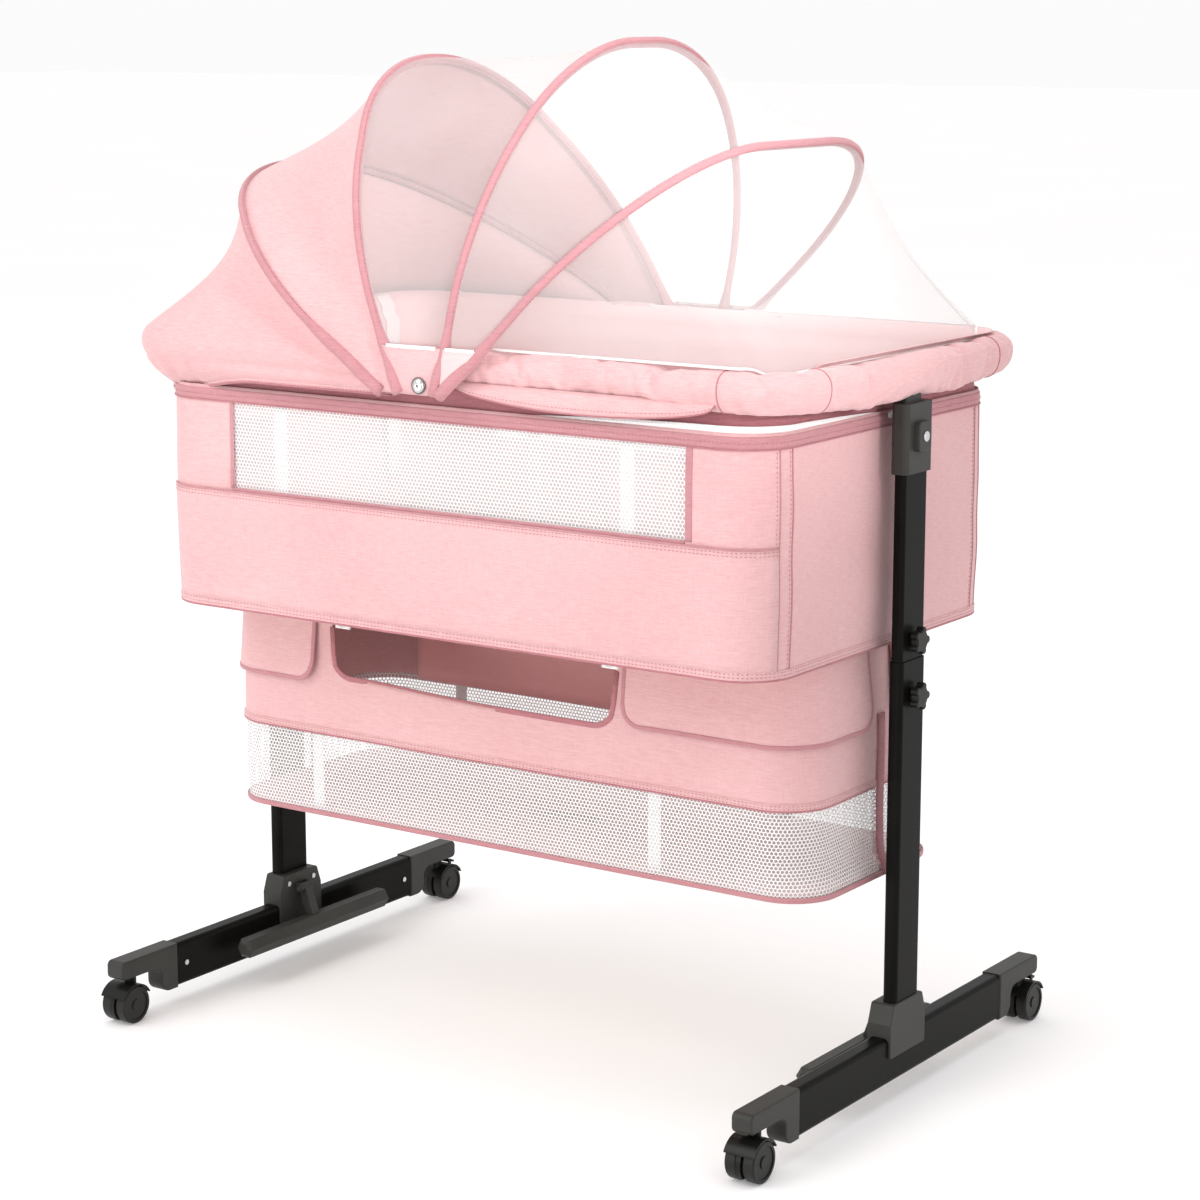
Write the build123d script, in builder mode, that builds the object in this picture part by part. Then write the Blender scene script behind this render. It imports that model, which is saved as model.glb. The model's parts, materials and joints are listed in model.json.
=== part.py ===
"""Bedside bassinet on a height-adjustable rolling stand, in millimetres.

X runs along the bed, with the head end at -X. The access side is -Y, and +Z is up.
The origin is on the floor, under the middle of the bed. Everything is built for the
right (+X) leg or the front (-Y) side and mirrored where the object is symmetric.
"""
from build123d import *
from math import atan, cos, hypot, radians, sin, tan, degrees, atan2
import os

os.makedirs("parts", exist_ok=True)

# ---- legs -------------------------------------------------------------------
LEG_OUTER_X = 476.0          # outer face of the floor beams
WALL = 1.5                   # wall of every steel tube in the legs
BEAM_THICK = 24.5            # floor beam section, along X
BEAM_HIGH = 57.0             # floor beam section, along Z
BEAM_CORNER = 6.0
BEAM_BOTTOM_Z = 24.0
BEAM_HALF_LENGTH = 242.0
BEAM_X = LEG_OUTER_X - BEAM_THICK / 2
BEAM_TOP_Z = BEAM_BOTTOM_Z + BEAM_HIGH
BEAM_MID_Z = BEAM_BOTTOM_Z + BEAM_HIGH / 2

POST_X = 468.0               # middle of the telescopic posts
LOWER_POST = (18.0, 58.0)    # outer tube section, X by Y
LOWER_POST_CORNER = 6.5
LOWER_POST_TOP_Z = 526.0
SLIDE_CLEARANCE = 0.05       # all round, inner tube in outer tube
UPPER_POST = (
    LOWER_POST[0] - 2 * WALL - 2 * SLIDE_CLEARANCE,
    LOWER_POST[1] - 2 * WALL - 2 * SLIDE_CLEARANCE,
)
UPPER_POST_CORNER = LOWER_POST_CORNER - WALL
UPPER_POST_BOTTOM_Z = 340.0
UPPER_POST_TOP_Z = 790.0

SADDLE_THICK = 31.0          # casting that carries the post on the beam
SADDLE_SKIRT_Z = 56.0
SADDLE_SHOULDER_Z = 97.0
SADDLE_TOP_Z = 120.0
SADDLE_HALF_FOOT = 42.0
SADDLE_HALF_HEAD = 34.0

# ---- casters ----------------------------------------------------------------
STEM_Y = 317.0
TRAIL = 9.0                  # axle behind the swivel stem
WHEEL_RADIUS = 24.0
WHEEL_WIDE = 15.0
WHEEL_GAP = 8.0              # between the twin wheels, filled by the yoke web
HOOD_GAP = 1.2
HOOD_WALL = 2.0
HOOD_BOTTOM_Z = 36.0         # the hood covers the wheels from here up
AXLE_RADIUS = 3.0
STEM_RADIUS = 4.0
SWIVEL_COLLAR_RADIUS = 7.5
TREAD_ROUND = 2.5            # rounding of the wheel's edges
RIM_WIDE = 5.0               # tread ring outside the recess in each wheel's face
DISC_RADIUS = 7.0            # raised disc in the middle of that recess
BRAKE_LEAN = 68.0            # brake pin's place round the hood, from +Y in degrees
BRAKE_PIN_RADIUS = 1.2
BRAKE_EYE_RADIUS = 2.6
BRAKE_PIN_HALF = 9.4
BRAKE_HALF_WIDE = 7.3        # between the two lugs of the hood
BRAKE_PEDAL = 12.0           # how far the pedal reaches past its pin
RUNNING_FIT = 0.05           # radial clearance of every pin that turns
ARM_BOTTOM_Z = 58.0
ARM_END_Y = 345.0
STEM_SOCKET_DEEP = 18.0

# ---- fold-away foot bars ----------------------------------------------------
FOOT_BAR_X = 425.0
FOOT_BAR_Z = 53.0
FOOT_BAR_HALF_LENGTH = 146.0
FOOT_BAR_RADIUS = 14.0
FOOT_PIVOT_X = 441.5
FOOT_PIVOT_Z = 100.0
FOOT_PIN_RADIUS = 2.5
FOOT_LUG_RADIUS = 6.0
FOOT_ARM_HALF = 6.8          # half width of the arm between the two lugs
FOOT_LUG_THICK = 5.0

# ---- knobs and buttons ------------------------------------------------------
CLAMP_KNOB_Z = 484.0
STOP_KNOB_Z = 549.0
KNOB_RADIUS = 16.5
KNOB_THICK = 9.0
KNOB_HUB_THICK = 4.0
KNOB_HUB_RADIUS = 8.5
KNOB_LOBES = 5
KNOB_SHANK_RADIUS = 3.0

COLLAR = (22.5, 62.0)        # collar section, X by Y
COLLAR_BOTTOM_Z = 743.0
COLLAR_TOP_Z = 823.0
COLLAR_X = 468.25
BUTTON_Z = 785.0
BUTTON_HOUSING = (28.0, 34.0)
BUTTON_HOUSING_PROUD = 7.0
BUTTON_RADIUS = 6.0
BUTTON_TRAVEL = 3.0
BUTTON_PIN_RADIUS = 2.5
NECK = (18.0, 36.0)          # block between a collar and the rail tube, X by Y
NECK_OUTSET = 5.0            # its middle, outside the rail's centre line

# ---- bed rail ---------------------------------------------------------------
RAIL_X = 457.0               # centre line of the rail tube
RAIL_Y = 266.0
RAIL_Z = 859.0
RAIL_CORNER = 58.0
RAIL_TUBE_RADIUS = 9.5
RAIL_TUBE_WALL = 1.2
PAD_RADIUS = 22.0
FABRIC_GAP = 0.3

# ---- fabric tub -------------------------------------------------------------
TUB_X = 437.0                # outer faces
TUB_Y = 266.0
TUB_CORNER = 60.0
TUB_BOTTOM_Z = 538.0
TUB_TOP_Z = RAIL_Z - PAD_RADIUS - FABRIC_GAP
TUB_WALL = 2.5
WINDOW_MID_X = 12.0
WINDOW_WIDE = 650.0
WINDOW_BOTTOM_Z = 689.0
WINDOW_TOP_Z = 800.0
NET_THICK = 1.5
BOARD_THICK = 5.0
MATTRESS = (850.0, 504.0, 42.0)
MATTRESS_CORNER = 52.0

# ---- storage basket ---------------------------------------------------------
BASKET_X = 434.0
BASKET_Y = 155.0
BASKET_CORNER = 60.0
BASKET_BOTTOM_Z = 260.0
BASKET_TOP_Z = TUB_BOTTOM_Z - FABRIC_GAP
BASKET_WALL = 2.0
SLOT_LEFT_X = -262.0         # access slot in the front of the basket
SLOT_RIGHT_X = 172.0
SLOT_BOTTOM_Z = 436.0
SLOT_CORNER = 28.0

# ---- canopy -----------------------------------------------------------------
HUB_X = 0.0
HUB_Z = 839.0
HUB_PIN_RADIUS = 4.0
HUB_BLOCK = (26.0, 12.0)     # X by Y, clamped under the rail tube
HUB_BLOCK_OUTSET = 6.0       # its middle, outside the rail's centre line
HUB_BLOCK_DROP = 8.0         # its bottom below the pivot
HUB_CAP_RADIUS = 8.5
HUB_CAP_THICK = 4.0
HUB_CAP_GAP = 1.5            # the canopy fabric passes between the ears and the cap
HOOP_RADIUS = 3.5
HOOP_HALF_WIDTH = 294.5
HOOP_BASE_Z = 868.0
EAR_WIDE = 10.0
EAR_THICK = 1.5
CANOPY_SKIN = 2.0
CANOPY_REST_Z = RAIL_Z + PAD_RADIUS + 3.0   # where the end panels lie on the rail

# Each arch: base X, lean from +X in degrees, height in its own plane, squareness,
# and the Y of the inner face of its pivot ear.
HOOPS = {
    "a": dict(x=-120.0, lean=147.8, high=368.0, square=1.98, ear_y=288.7),
    "b": dict(x=-50.0, lean=115.7, high=367.0, square=1.90, ear_y=290.6),
    "c": dict(x=28.0, lean=77.9, high=361.0, square=2.25, ear_y=292.5),
    "d": dict(x=67.0, lean=44.1, high=344.0, square=2.84, ear_y=298.8),
}
HEAD_END = dict(x=-110.0, lean=180.0, high=365.0, square=5.0)
FOOT_END = dict(x=64.0, lean=0.0, high=411.0, square=5.0)

# ---- zipper pull ------------------------------------------------------------
PULL = (2.5, 22.0, 8.0)
PULL_Y = 8.0
PULL_Z = 806.0


def save(part, name):
    """Label one finished piece and write its STEP file."""
    part.label = name
    export_step(part, f"parts/{name}.step")


def save_both_ends(part, name):
    """Write a right-hand piece and its mirror image at the head end."""
    save(part, f"right_{name}")
    save(mirror(part, about=Plane.YZ), f"left_{name}")


def rounded_ring(half_x, half_y, corner, wall):
    """A closed wall outline of rounded rectangles, inside an open BuildSketch."""
    RectangleRounded(2 * half_x, 2 * half_y, corner)
    RectangleRounded(
        2 * (half_x - wall), 2 * (half_y - wall), corner - wall, mode=Mode.SUBTRACT
    )


# ============================ legs ===========================================


def floor_beam():
    with BuildPart() as beam:
        with BuildSketch(Plane.XZ):
            with Locations((BEAM_X, BEAM_MID_Z)):
                RectangleRounded(BEAM_THICK, BEAM_HIGH, BEAM_CORNER)
                RectangleRounded(
                    BEAM_THICK - 2 * WALL,
                    BEAM_HIGH - 2 * WALL,
                    BEAM_CORNER - WALL,
                    mode=Mode.SUBTRACT,
                )
        extrude(amount=BEAM_HALF_LENGTH, both=True)
    return beam.part


def end_cap():
    """Hooked cap of the rear beam end: a plug, a rounded lobe, and the caster arm."""
    lobe_y = BEAM_HALF_LENGTH + 30.0
    arm_top_z = BEAM_TOP_Z + 1.0
    plug_long = 28.0
    plug_play = 0.2
    lobe_round = 15.0
    hook_round = 12.0
    tip_round = 7.0
    side_round = 2.5
    with BuildPart() as cap:
        with BuildSketch(Plane.YZ.offset(BEAM_X)) as side:
            with BuildLine():
                Polyline(
                    (BEAM_HALF_LENGTH, BEAM_BOTTOM_Z - 1.0),
                    (lobe_y, BEAM_BOTTOM_Z - 1.0),
                    (lobe_y, ARM_BOTTOM_Z),
                    (ARM_END_Y, ARM_BOTTOM_Z),
                    (ARM_END_Y, arm_top_z),
                    (BEAM_HALF_LENGTH, arm_top_z),
                    close=True,
                )
            make_face()
            lobe = side.vertices().filter_by(lambda v: abs(v.X - lobe_y) < 1)
            fillet(lobe.sort_by(Axis.Y)[0], lobe_round)
            hook = side.vertices().filter_by(
                lambda v: abs(v.X - lobe_y) < 1 and abs(v.Y - ARM_BOTTOM_Z) < 1
            )
            fillet(hook, hook_round)
            tip = side.vertices().filter_by(lambda v: abs(v.X - ARM_END_Y) < 1)
            fillet(tip, tip_round)
        extrude(amount=BEAM_THICK / 2 + 1.0, both=True)
        sides = cap.faces().filter_by(Axis.X)
        fillet(sides.edges(), side_round)
        with BuildSketch(Plane.XZ.offset(-(BEAM_HALF_LENGTH - plug_long))):
            with Locations((BEAM_X, BEAM_MID_Z)):
                RectangleRounded(
                    BEAM_THICK - 2 * WALL - plug_play,
                    BEAM_HIGH - 2 * WALL - plug_play,
                    BEAM_CORNER - WALL,
                )
        extrude(amount=-(plug_long + 1.0))
        with BuildSketch(Plane.XY.offset(ARM_BOTTOM_Z)):
            with Locations((BEAM_X, STEM_Y)):
                Circle(STEM_RADIUS + RUNNING_FIT)
        extrude(amount=STEM_SOCKET_DEEP, mode=Mode.SUBTRACT)
    return cap.part


def post_section(size, corner):
    """Outline of one post tube, inside an open BuildSketch."""
    with Locations((POST_X, 0)):
        RectangleRounded(size[0], size[1], corner)


def saddle():
    """Casting over the beam: skirts on both sides, a socket for the post, two lugs."""
    lug_mid_y = FOOT_ARM_HALF + 0.2 + FOOT_LUG_THICK / 2
    inner_x = BEAM_X - SADDLE_THICK / 2
    with BuildPart() as casting:
        with BuildSketch(Plane.YZ.offset(BEAM_X)):
            with BuildLine():
                Polyline(
                    (-SADDLE_HALF_FOOT, SADDLE_SKIRT_Z),
                    (SADDLE_HALF_FOOT, SADDLE_SKIRT_Z),
                    (SADDLE_HALF_FOOT, SADDLE_SHOULDER_Z),
                    (SADDLE_HALF_HEAD, SADDLE_TOP_Z),
                    (-SADDLE_HALF_HEAD, SADDLE_TOP_Z),
                    (-SADDLE_HALF_FOOT, SADDLE_SHOULDER_Z),
                    close=True,
                )
            make_face()
        extrude(amount=SADDLE_THICK / 2, both=True)
        fillet(casting.edges().filter_by(Axis.X), 4)
        fillet(casting.faces().filter_by(Axis.X).edges(), 1.5)
        with BuildSketch(Plane.XZ):
            with Locations((BEAM_X, BEAM_MID_Z)):
                RectangleRounded(BEAM_THICK, BEAM_HIGH, BEAM_CORNER)
        extrude(amount=SADDLE_HALF_FOOT + 2, both=True, mode=Mode.SUBTRACT)
        with BuildSketch(Plane.XY.offset(BEAM_TOP_Z)):
            post_section(LOWER_POST, LOWER_POST_CORNER)
        extrude(amount=SADDLE_TOP_Z, mode=Mode.SUBTRACT)
        for side in (-1, 1):
            with BuildSketch(Plane.XZ.offset(side * lug_mid_y)):
                with BuildLine():
                    Polyline(
                        (inner_x + 2, FOOT_PIVOT_Z - FOOT_LUG_RADIUS),
                        (FOOT_PIVOT_X, FOOT_PIVOT_Z - FOOT_LUG_RADIUS),
                        (FOOT_PIVOT_X, FOOT_PIVOT_Z + FOOT_LUG_RADIUS),
                        (inner_x + 2, FOOT_PIVOT_Z + FOOT_LUG_RADIUS),
                        close=True,
                    )
                make_face()
                with Locations((FOOT_PIVOT_X, FOOT_PIVOT_Z)):
                    Circle(FOOT_LUG_RADIUS)
            extrude(amount=FOOT_LUG_THICK / 2, both=True)
        with BuildSketch(Plane.XZ):
            with Locations((FOOT_PIVOT_X, FOOT_PIVOT_Z)):
                Circle(FOOT_PIN_RADIUS)
        extrude(amount=SADDLE_HALF_FOOT, both=True, mode=Mode.SUBTRACT)
    return casting.part


def leg_fasteners():
    """Foot-bar pin, two dome rivets on the saddle and one cap screw at each beam end."""
    rivet_z = 108.0
    rivet_y = 25.0
    screw_y = BEAM_HALF_LENGTH - 16.0
    head_radius = 3.4
    head_proud = 1.4
    pin_half_long = 14.0
    with BuildPart() as fasteners:
        with BuildSketch(Plane.XZ):
            with Locations((FOOT_PIVOT_X, FOOT_PIVOT_Z)):
                Circle(FOOT_PIN_RADIUS)
        extrude(amount=pin_half_long, both=True)
        saddle_face = BEAM_X - SADDLE_THICK / 2
        with BuildSketch(Plane.YZ.offset(saddle_face - head_proud)):
            with Locations((-rivet_y, rivet_z), (rivet_y, rivet_z)):
                Circle(head_radius)
        extrude(amount=head_proud)
        beam_face = BEAM_X - BEAM_THICK / 2
        with BuildSketch(Plane.YZ.offset(beam_face - head_proud)):
            with Locations((-screw_y, BEAM_MID_Z), (screw_y, BEAM_MID_Z)):
                Circle(head_radius)
        extrude(amount=head_proud)
    return fasteners.part


def lower_post():
    with BuildPart() as tube:
        with BuildSketch(Plane.XY.offset(BEAM_TOP_Z)):
            post_section(LOWER_POST, LOWER_POST_CORNER)
            with Locations((POST_X, 0)):
                RectangleRounded(
                    LOWER_POST[0] - 2 * WALL,
                    LOWER_POST[1] - 2 * WALL,
                    UPPER_POST_CORNER,
                    mode=Mode.SUBTRACT,
                )
        extrude(amount=LOWER_POST_TOP_Z - BEAM_TOP_Z)
        with BuildSketch(Plane.YZ.offset(POST_X)):
            with Locations((0, CLAMP_KNOB_Z)):
                Circle(KNOB_SHANK_RADIUS + RUNNING_FIT)
        extrude(amount=LOWER_POST[0], mode=Mode.SUBTRACT)
    return tube.part


def upper_post():
    with BuildPart() as tube:
        with BuildSketch(Plane.XY.offset(UPPER_POST_BOTTOM_Z)):
            post_section(UPPER_POST, UPPER_POST_CORNER)
            with Locations((POST_X, 0)):
                RectangleRounded(
                    UPPER_POST[0] - 2 * WALL,
                    UPPER_POST[1] - 2 * WALL,
                    UPPER_POST_CORNER - WALL,
                    mode=Mode.SUBTRACT,
                )
        extrude(amount=UPPER_POST_TOP_Z - UPPER_POST_BOTTOM_Z)
        with BuildSketch(Plane.YZ.offset(POST_X)):
            with Locations((0, STOP_KNOB_Z)):
                Circle(KNOB_SHANK_RADIUS + RUNNING_FIT)
            with Locations((0, BUTTON_Z)):
                Circle(BUTTON_PIN_RADIUS + RUNNING_FIT)
        extrude(amount=UPPER_POST[0], mode=Mode.SUBTRACT)
    return tube.part


def star_knob(face_x, z, shank):
    """Lobed clamp knob against the face at face_x, with its threaded shank inwards."""
    play = 0.3
    hub_x = face_x + play
    star_x = hub_x + KNOB_HUB_THICK
    lobe_radius = 4.5
    edge_radius = 1.5
    with BuildPart() as knob:
        with BuildSketch(Plane.YZ.offset(star_x)) as star:
            with Locations((0, z)):
                Circle(KNOB_RADIUS - lobe_radius)
                with PolarLocations(KNOB_RADIUS - lobe_radius, KNOB_LOBES):
                    Circle(lobe_radius)
            fillet(star.vertices(), edge_radius)
        extrude(amount=KNOB_THICK)
        fillet(knob.faces().sort_by(Axis.X)[-1].edges(), edge_radius)
        with BuildSketch(Plane.YZ.offset(hub_x)):
            with Locations((0, z)):
                Circle(KNOB_HUB_RADIUS)
        extrude(amount=KNOB_HUB_THICK)
        with BuildSketch(Plane.YZ.offset(face_x - shank)):
            with Locations((0, z)):
                Circle(KNOB_SHANK_RADIUS)
        extrude(amount=shank + play)
    return knob.part


def foot_bar():
    """Six-sided bar beside the beam, on one arm that hangs from the saddle lugs."""
    arm_wide = 2 * FOOT_LUG_RADIUS
    down = Vector(FOOT_BAR_X - FOOT_PIVOT_X, FOOT_BAR_Z - FOOT_PIVOT_Z)
    middle = (FOOT_PIVOT_X + down.X / 2, FOOT_PIVOT_Z + down.Y / 2)
    slope = degrees(atan2(down.Y, down.X))
    with BuildPart() as bar:
        with BuildSketch(Plane.XZ):
            with Locations((FOOT_BAR_X, FOOT_BAR_Z)):
                RegularPolygon(FOOT_BAR_RADIUS, 6)
        extrude(amount=FOOT_BAR_HALF_LENGTH, both=True)
        ends = bar.faces().filter_by(Axis.Y)
        chamfer(ends.edges(), 5)
        with BuildSketch(Plane.XZ):
            with Locations(Location((middle[0], middle[1], 0), (0, 0, slope))):
                SlotCenterToCenter(down.length, arm_wide)
        extrude(amount=FOOT_ARM_HALF, both=True)
        with BuildSketch(Plane.XZ):
            with Locations((FOOT_PIVOT_X, FOOT_PIVOT_Z)):
                Circle(FOOT_PIN_RADIUS + RUNNING_FIT)
        extrude(amount=FOOT_ARM_HALF, both=True, mode=Mode.SUBTRACT)
    return bar.part


# ============================ casters ========================================


def caster_yoke(with_lugs):
    """Swivel body of a rear-right caster: stem, collar, hood and the web with the axle."""
    axle_y = STEM_Y + TRAIL
    hood_inner = WHEEL_RADIUS + HOOD_GAP
    hood_outer = hood_inner + HOOD_WALL
    hood_half = WHEEL_GAP / 2 + WHEEL_WIDE + 0.5
    web_half = WHEEL_GAP / 2 - 1.0
    web_bottom_z = 8.0
    collar_bottom_z = 42.0
    collar_top_z = ARM_BOTTOM_Z - 0.3
    stem_long = STEM_SOCKET_DEEP - 0.7
    lug_radius = 3.2
    lug_y, lug_z = brake_pivot()
    with BuildPart() as yoke:
        with BuildSketch(Plane.YZ.offset(BEAM_X)):
            with Locations((axle_y, WHEEL_RADIUS)):
                Circle(hood_outer)
                Circle(hood_inner, mode=Mode.SUBTRACT)
            with Locations((axle_y, HOOD_BOTTOM_Z - hood_outer)):
                Rectangle(3 * hood_outer, 2 * hood_outer, mode=Mode.SUBTRACT)
        extrude(amount=hood_half, both=True)
        with BuildSketch(Plane.YZ.offset(BEAM_X)):
            with Locations((axle_y, WHEEL_RADIUS)):
                Circle(hood_inner + 0.5)
            with Locations((axle_y, web_bottom_z - hood_outer)):
                Rectangle(3 * hood_outer, 2 * hood_outer, mode=Mode.SUBTRACT)
        extrude(amount=web_half, both=True)
        with BuildSketch(Plane.XY.offset(collar_bottom_z)):
            with Locations((BEAM_X, STEM_Y)):
                Circle(SWIVEL_COLLAR_RADIUS)
        extrude(amount=collar_top_z - collar_bottom_z)
        with BuildSketch(Plane.XY.offset(collar_top_z)):
            with Locations((BEAM_X, STEM_Y)):
                Circle(STEM_RADIUS)
        extrude(amount=stem_long)
        if with_lugs:
            for side in (-1, 1):
                with BuildSketch(Plane.YZ.offset(BEAM_X + side * 8.5)):
                    with Locations((lug_y, lug_z)):
                        Circle(lug_radius)
                    with Locations((lug_y - 1, lug_z - lug_radius)):
                        Rectangle(5, 5)
                extrude(amount=1, both=True)
        # the collar and the lugs reach down past the hood, so the wheels' room is cut last
        wheel_room = WHEEL_WIDE + 1.0
        for side in (-1, 1):
            middle = BEAM_X + side * (WHEEL_GAP + WHEEL_WIDE) / 2
            with BuildSketch(Plane.YZ.offset(middle)):
                with Locations((axle_y, WHEEL_RADIUS)):
                    Circle(hood_inner)
            extrude(amount=wheel_room / 2, both=True, mode=Mode.SUBTRACT)
        with BuildSketch(Plane.YZ.offset(BEAM_X)):
            with Locations((axle_y, WHEEL_RADIUS)):
                Circle(AXLE_RADIUS + RUNNING_FIT)
        extrude(amount=hood_half, both=True, mode=Mode.SUBTRACT)
        if with_lugs:
            with BuildSketch(Plane.YZ.offset(BEAM_X)):
                with Locations((lug_y, lug_z)):
                    Circle(BRAKE_PIN_RADIUS + RUNNING_FIT)
            extrude(amount=hood_half, both=True, mode=Mode.SUBTRACT)
    return yoke.part


def brake_pivot():
    """Y and Z of the brake lever's pin, over the trailing side of the hood."""
    over_hood = 3.4
    reach = WHEEL_RADIUS + HOOD_GAP + HOOD_WALL + over_hood
    lean = radians(BRAKE_LEAN)
    return STEM_Y + TRAIL + reach * cos(lean), WHEEL_RADIUS + reach * sin(lean)


def brake_lever():
    """Foot pedal that slopes down from its eye, with the pin through both lugs."""
    pin_y, pin_z = brake_pivot()
    tip_y = pin_y + BRAKE_PEDAL
    with BuildPart() as lever:
        with BuildSketch(Plane.YZ.offset(BEAM_X)):
            with Locations((pin_y, pin_z)):
                Circle(BRAKE_EYE_RADIUS)
            with BuildLine():
                Polyline(
                    (pin_y, pin_z + BRAKE_EYE_RADIUS),
                    (tip_y, pin_z - 1.5),
                    (tip_y - 1, pin_z - 4.5),
                    (pin_y, pin_z - 1.0),
                    close=True,
                )
            make_face()
        extrude(amount=BRAKE_HALF_WIDE, both=True)
        with BuildSketch(Plane.YZ.offset(BEAM_X)):
            with Locations((pin_y, pin_z)):
                Circle(BRAKE_PIN_RADIUS)
        extrude(amount=BRAKE_PIN_HALF, both=True)
    return lever.part


def twin_wheels():
    """Two wheels pressed on one axle, for the rear-right caster."""
    axle_y = STEM_Y + TRAIL
    rim_deep = 1.2
    with BuildPart() as wheels:
        for side in (-1, 1):
            middle = BEAM_X + side * (WHEEL_GAP + WHEEL_WIDE) / 2
            with BuildSketch(Plane.YZ.offset(middle)):
                with Locations((axle_y, WHEEL_RADIUS)):
                    Circle(WHEEL_RADIUS)
            extrude(amount=WHEEL_WIDE / 2, both=True)
        fillet(wheels.edges().filter_by(GeomType.CIRCLE), TREAD_ROUND)
        for side in (-1, 1):
            outer = BEAM_X + side * (WHEEL_GAP / 2 + WHEEL_WIDE - rim_deep)
            with BuildSketch(Plane.YZ.offset(outer)):
                with Locations((axle_y, WHEEL_RADIUS)):
                    Circle(WHEEL_RADIUS - RIM_WIDE)
                    Circle(DISC_RADIUS, mode=Mode.SUBTRACT)
            extrude(amount=side * 2 * rim_deep, mode=Mode.SUBTRACT)
        with BuildSketch(Plane.YZ.offset(BEAM_X)):
            with Locations((axle_y, WHEEL_RADIUS)):
                Circle(AXLE_RADIUS)
        extrude(amount=WHEEL_GAP / 2 + WHEEL_WIDE / 2, both=True)
    return wheels.part


# ============================ bed frame ======================================


def collar():
    """Moulded head of a post: socket, button housing, and a neck under the rail tube."""
    face_x = COLLAR_X + COLLAR[0] / 2
    bore_deep = BUTTON_HOUSING_PROUD + BUTTON_TRAVEL - 1.5
    neck_bottom = COLLAR_TOP_Z - 2
    corner = 7.0
    housing_corner = 5.0
    with BuildPart() as head:
        with BuildSketch(Plane.XY.offset(COLLAR_BOTTOM_Z)):
            with Locations((COLLAR_X, 0)):
                RectangleRounded(COLLAR[0], COLLAR[1], corner)
        extrude(amount=COLLAR_TOP_Z - COLLAR_BOTTOM_Z)
        with BuildSketch(Plane.YZ.offset(face_x - 1)):
            with Locations((0, BUTTON_Z)):
                RectangleRounded(BUTTON_HOUSING[0], BUTTON_HOUSING[1], housing_corner)
        extrude(amount=BUTTON_HOUSING_PROUD + 1)
        fillet(head.faces().sort_by(Axis.X)[-1].edges(), 1.5)
        with BuildSketch(Plane.XY.offset(neck_bottom)):
            with Locations((RAIL_X + NECK_OUTSET, 0)):
                RectangleRounded(NECK[0], NECK[1], 3)
        extrude(amount=RAIL_Z - 2 - neck_bottom)
        with BuildSketch(Plane.XZ):
            with Locations((RAIL_X, RAIL_Z)):
                Circle(RAIL_TUBE_RADIUS)
        extrude(amount=COLLAR[1] / 2, both=True, mode=Mode.SUBTRACT)
        with BuildSketch(Plane.XY.offset(COLLAR_BOTTOM_Z)):
            post_section(UPPER_POST, UPPER_POST_CORNER)
        extrude(amount=UPPER_POST_TOP_Z - COLLAR_BOTTOM_Z, mode=Mode.SUBTRACT)
        with BuildSketch(Plane.YZ.offset(face_x + BUTTON_HOUSING_PROUD)):
            with Locations((0, BUTTON_Z)):
                Circle(BUTTON_RADIUS + RUNNING_FIT)
        extrude(amount=-bore_deep, mode=Mode.SUBTRACT)
        with BuildSketch(Plane.YZ.offset(POST_X)):
            with Locations((0, BUTTON_Z)):
                Circle(BUTTON_PIN_RADIUS + RUNNING_FIT)
        extrude(amount=COLLAR[0], mode=Mode.SUBTRACT)
    return head.part


def push_button():
    """Round button with the lock pin that enters the post tube."""
    face_x = COLLAR_X + COLLAR[0] / 2 + BUTTON_HOUSING_PROUD
    button_long = 6.0
    back_x = face_x + 2.0 - button_long
    pin_tip_x = POST_X + 3.0
    with BuildPart() as button:
        with BuildSketch(Plane.YZ.offset(back_x)):
            with Locations((0, BUTTON_Z)):
                Circle(BUTTON_RADIUS)
        extrude(amount=button_long)
        fillet(button.faces().sort_by(Axis.X)[-1].edges(), 1)
        with BuildSketch(Plane.YZ.offset(pin_tip_x)):
            with Locations((0, BUTTON_Z)):
                Circle(BUTTON_PIN_RADIUS)
        extrude(amount=back_x - pin_tip_x)
    return button.part


def rail_loop(outer, inner):
    """A hoop of round section along the rail's centre line."""
    corners = [
        (-RAIL_X, -RAIL_Y),
        (RAIL_X, -RAIL_Y),
        (RAIL_X, RAIL_Y),
        (-RAIL_X, RAIL_Y),
    ]
    with BuildPart() as loop:
        with BuildLine(Plane.XY.offset(RAIL_Z)) as path:
            FilletPolyline(*corners, radius=RAIL_CORNER, close=True)
        start = path.wire() @ 0
        with BuildSketch(Plane(origin=start, z_dir=path.wire() % 0)):
            Circle(outer)
            Circle(inner, mode=Mode.SUBTRACT)
        sweep(path=path.wire())
    return loop.part


def hub_block_box(play):
    """Outline of the clamp blocks under the rail tube, inside an open BuildSketch."""
    for side in (-1, 1):
        with Locations((HUB_X, side * (RAIL_Y + HUB_BLOCK_OUTSET))):
            Rectangle(HUB_BLOCK[0] + play, HUB_BLOCK[1] + play)


def rail_pad():
    """Padded sleeve round the rail, cut out for the collar necks and canopy hubs."""
    tube_play = 0.1
    with BuildPart() as pad:
        add(rail_loop(PAD_RADIUS, RAIL_TUBE_RADIUS + tube_play))
        with BuildSketch(Plane.XY.offset(RAIL_Z - PAD_RADIUS - 1)):
            for side in (-1, 1):
                with Locations((side * (RAIL_X + NECK_OUTSET), 0)):
                    Rectangle(NECK[0] + 2 * FABRIC_GAP, NECK[1] + 2 * FABRIC_GAP)
            hub_block_box(2 * FABRIC_GAP)
        extrude(amount=PAD_RADIUS + 1, mode=Mode.SUBTRACT)
        with BuildSketch(Plane.XZ):
            with Locations((HUB_X, HUB_Z)):
                Circle(HUB_PIN_RADIUS + FABRIC_GAP)
        extrude(amount=RAIL_Y + PAD_RADIUS + 2, both=True, mode=Mode.SUBTRACT)
    return pad.part


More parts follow.
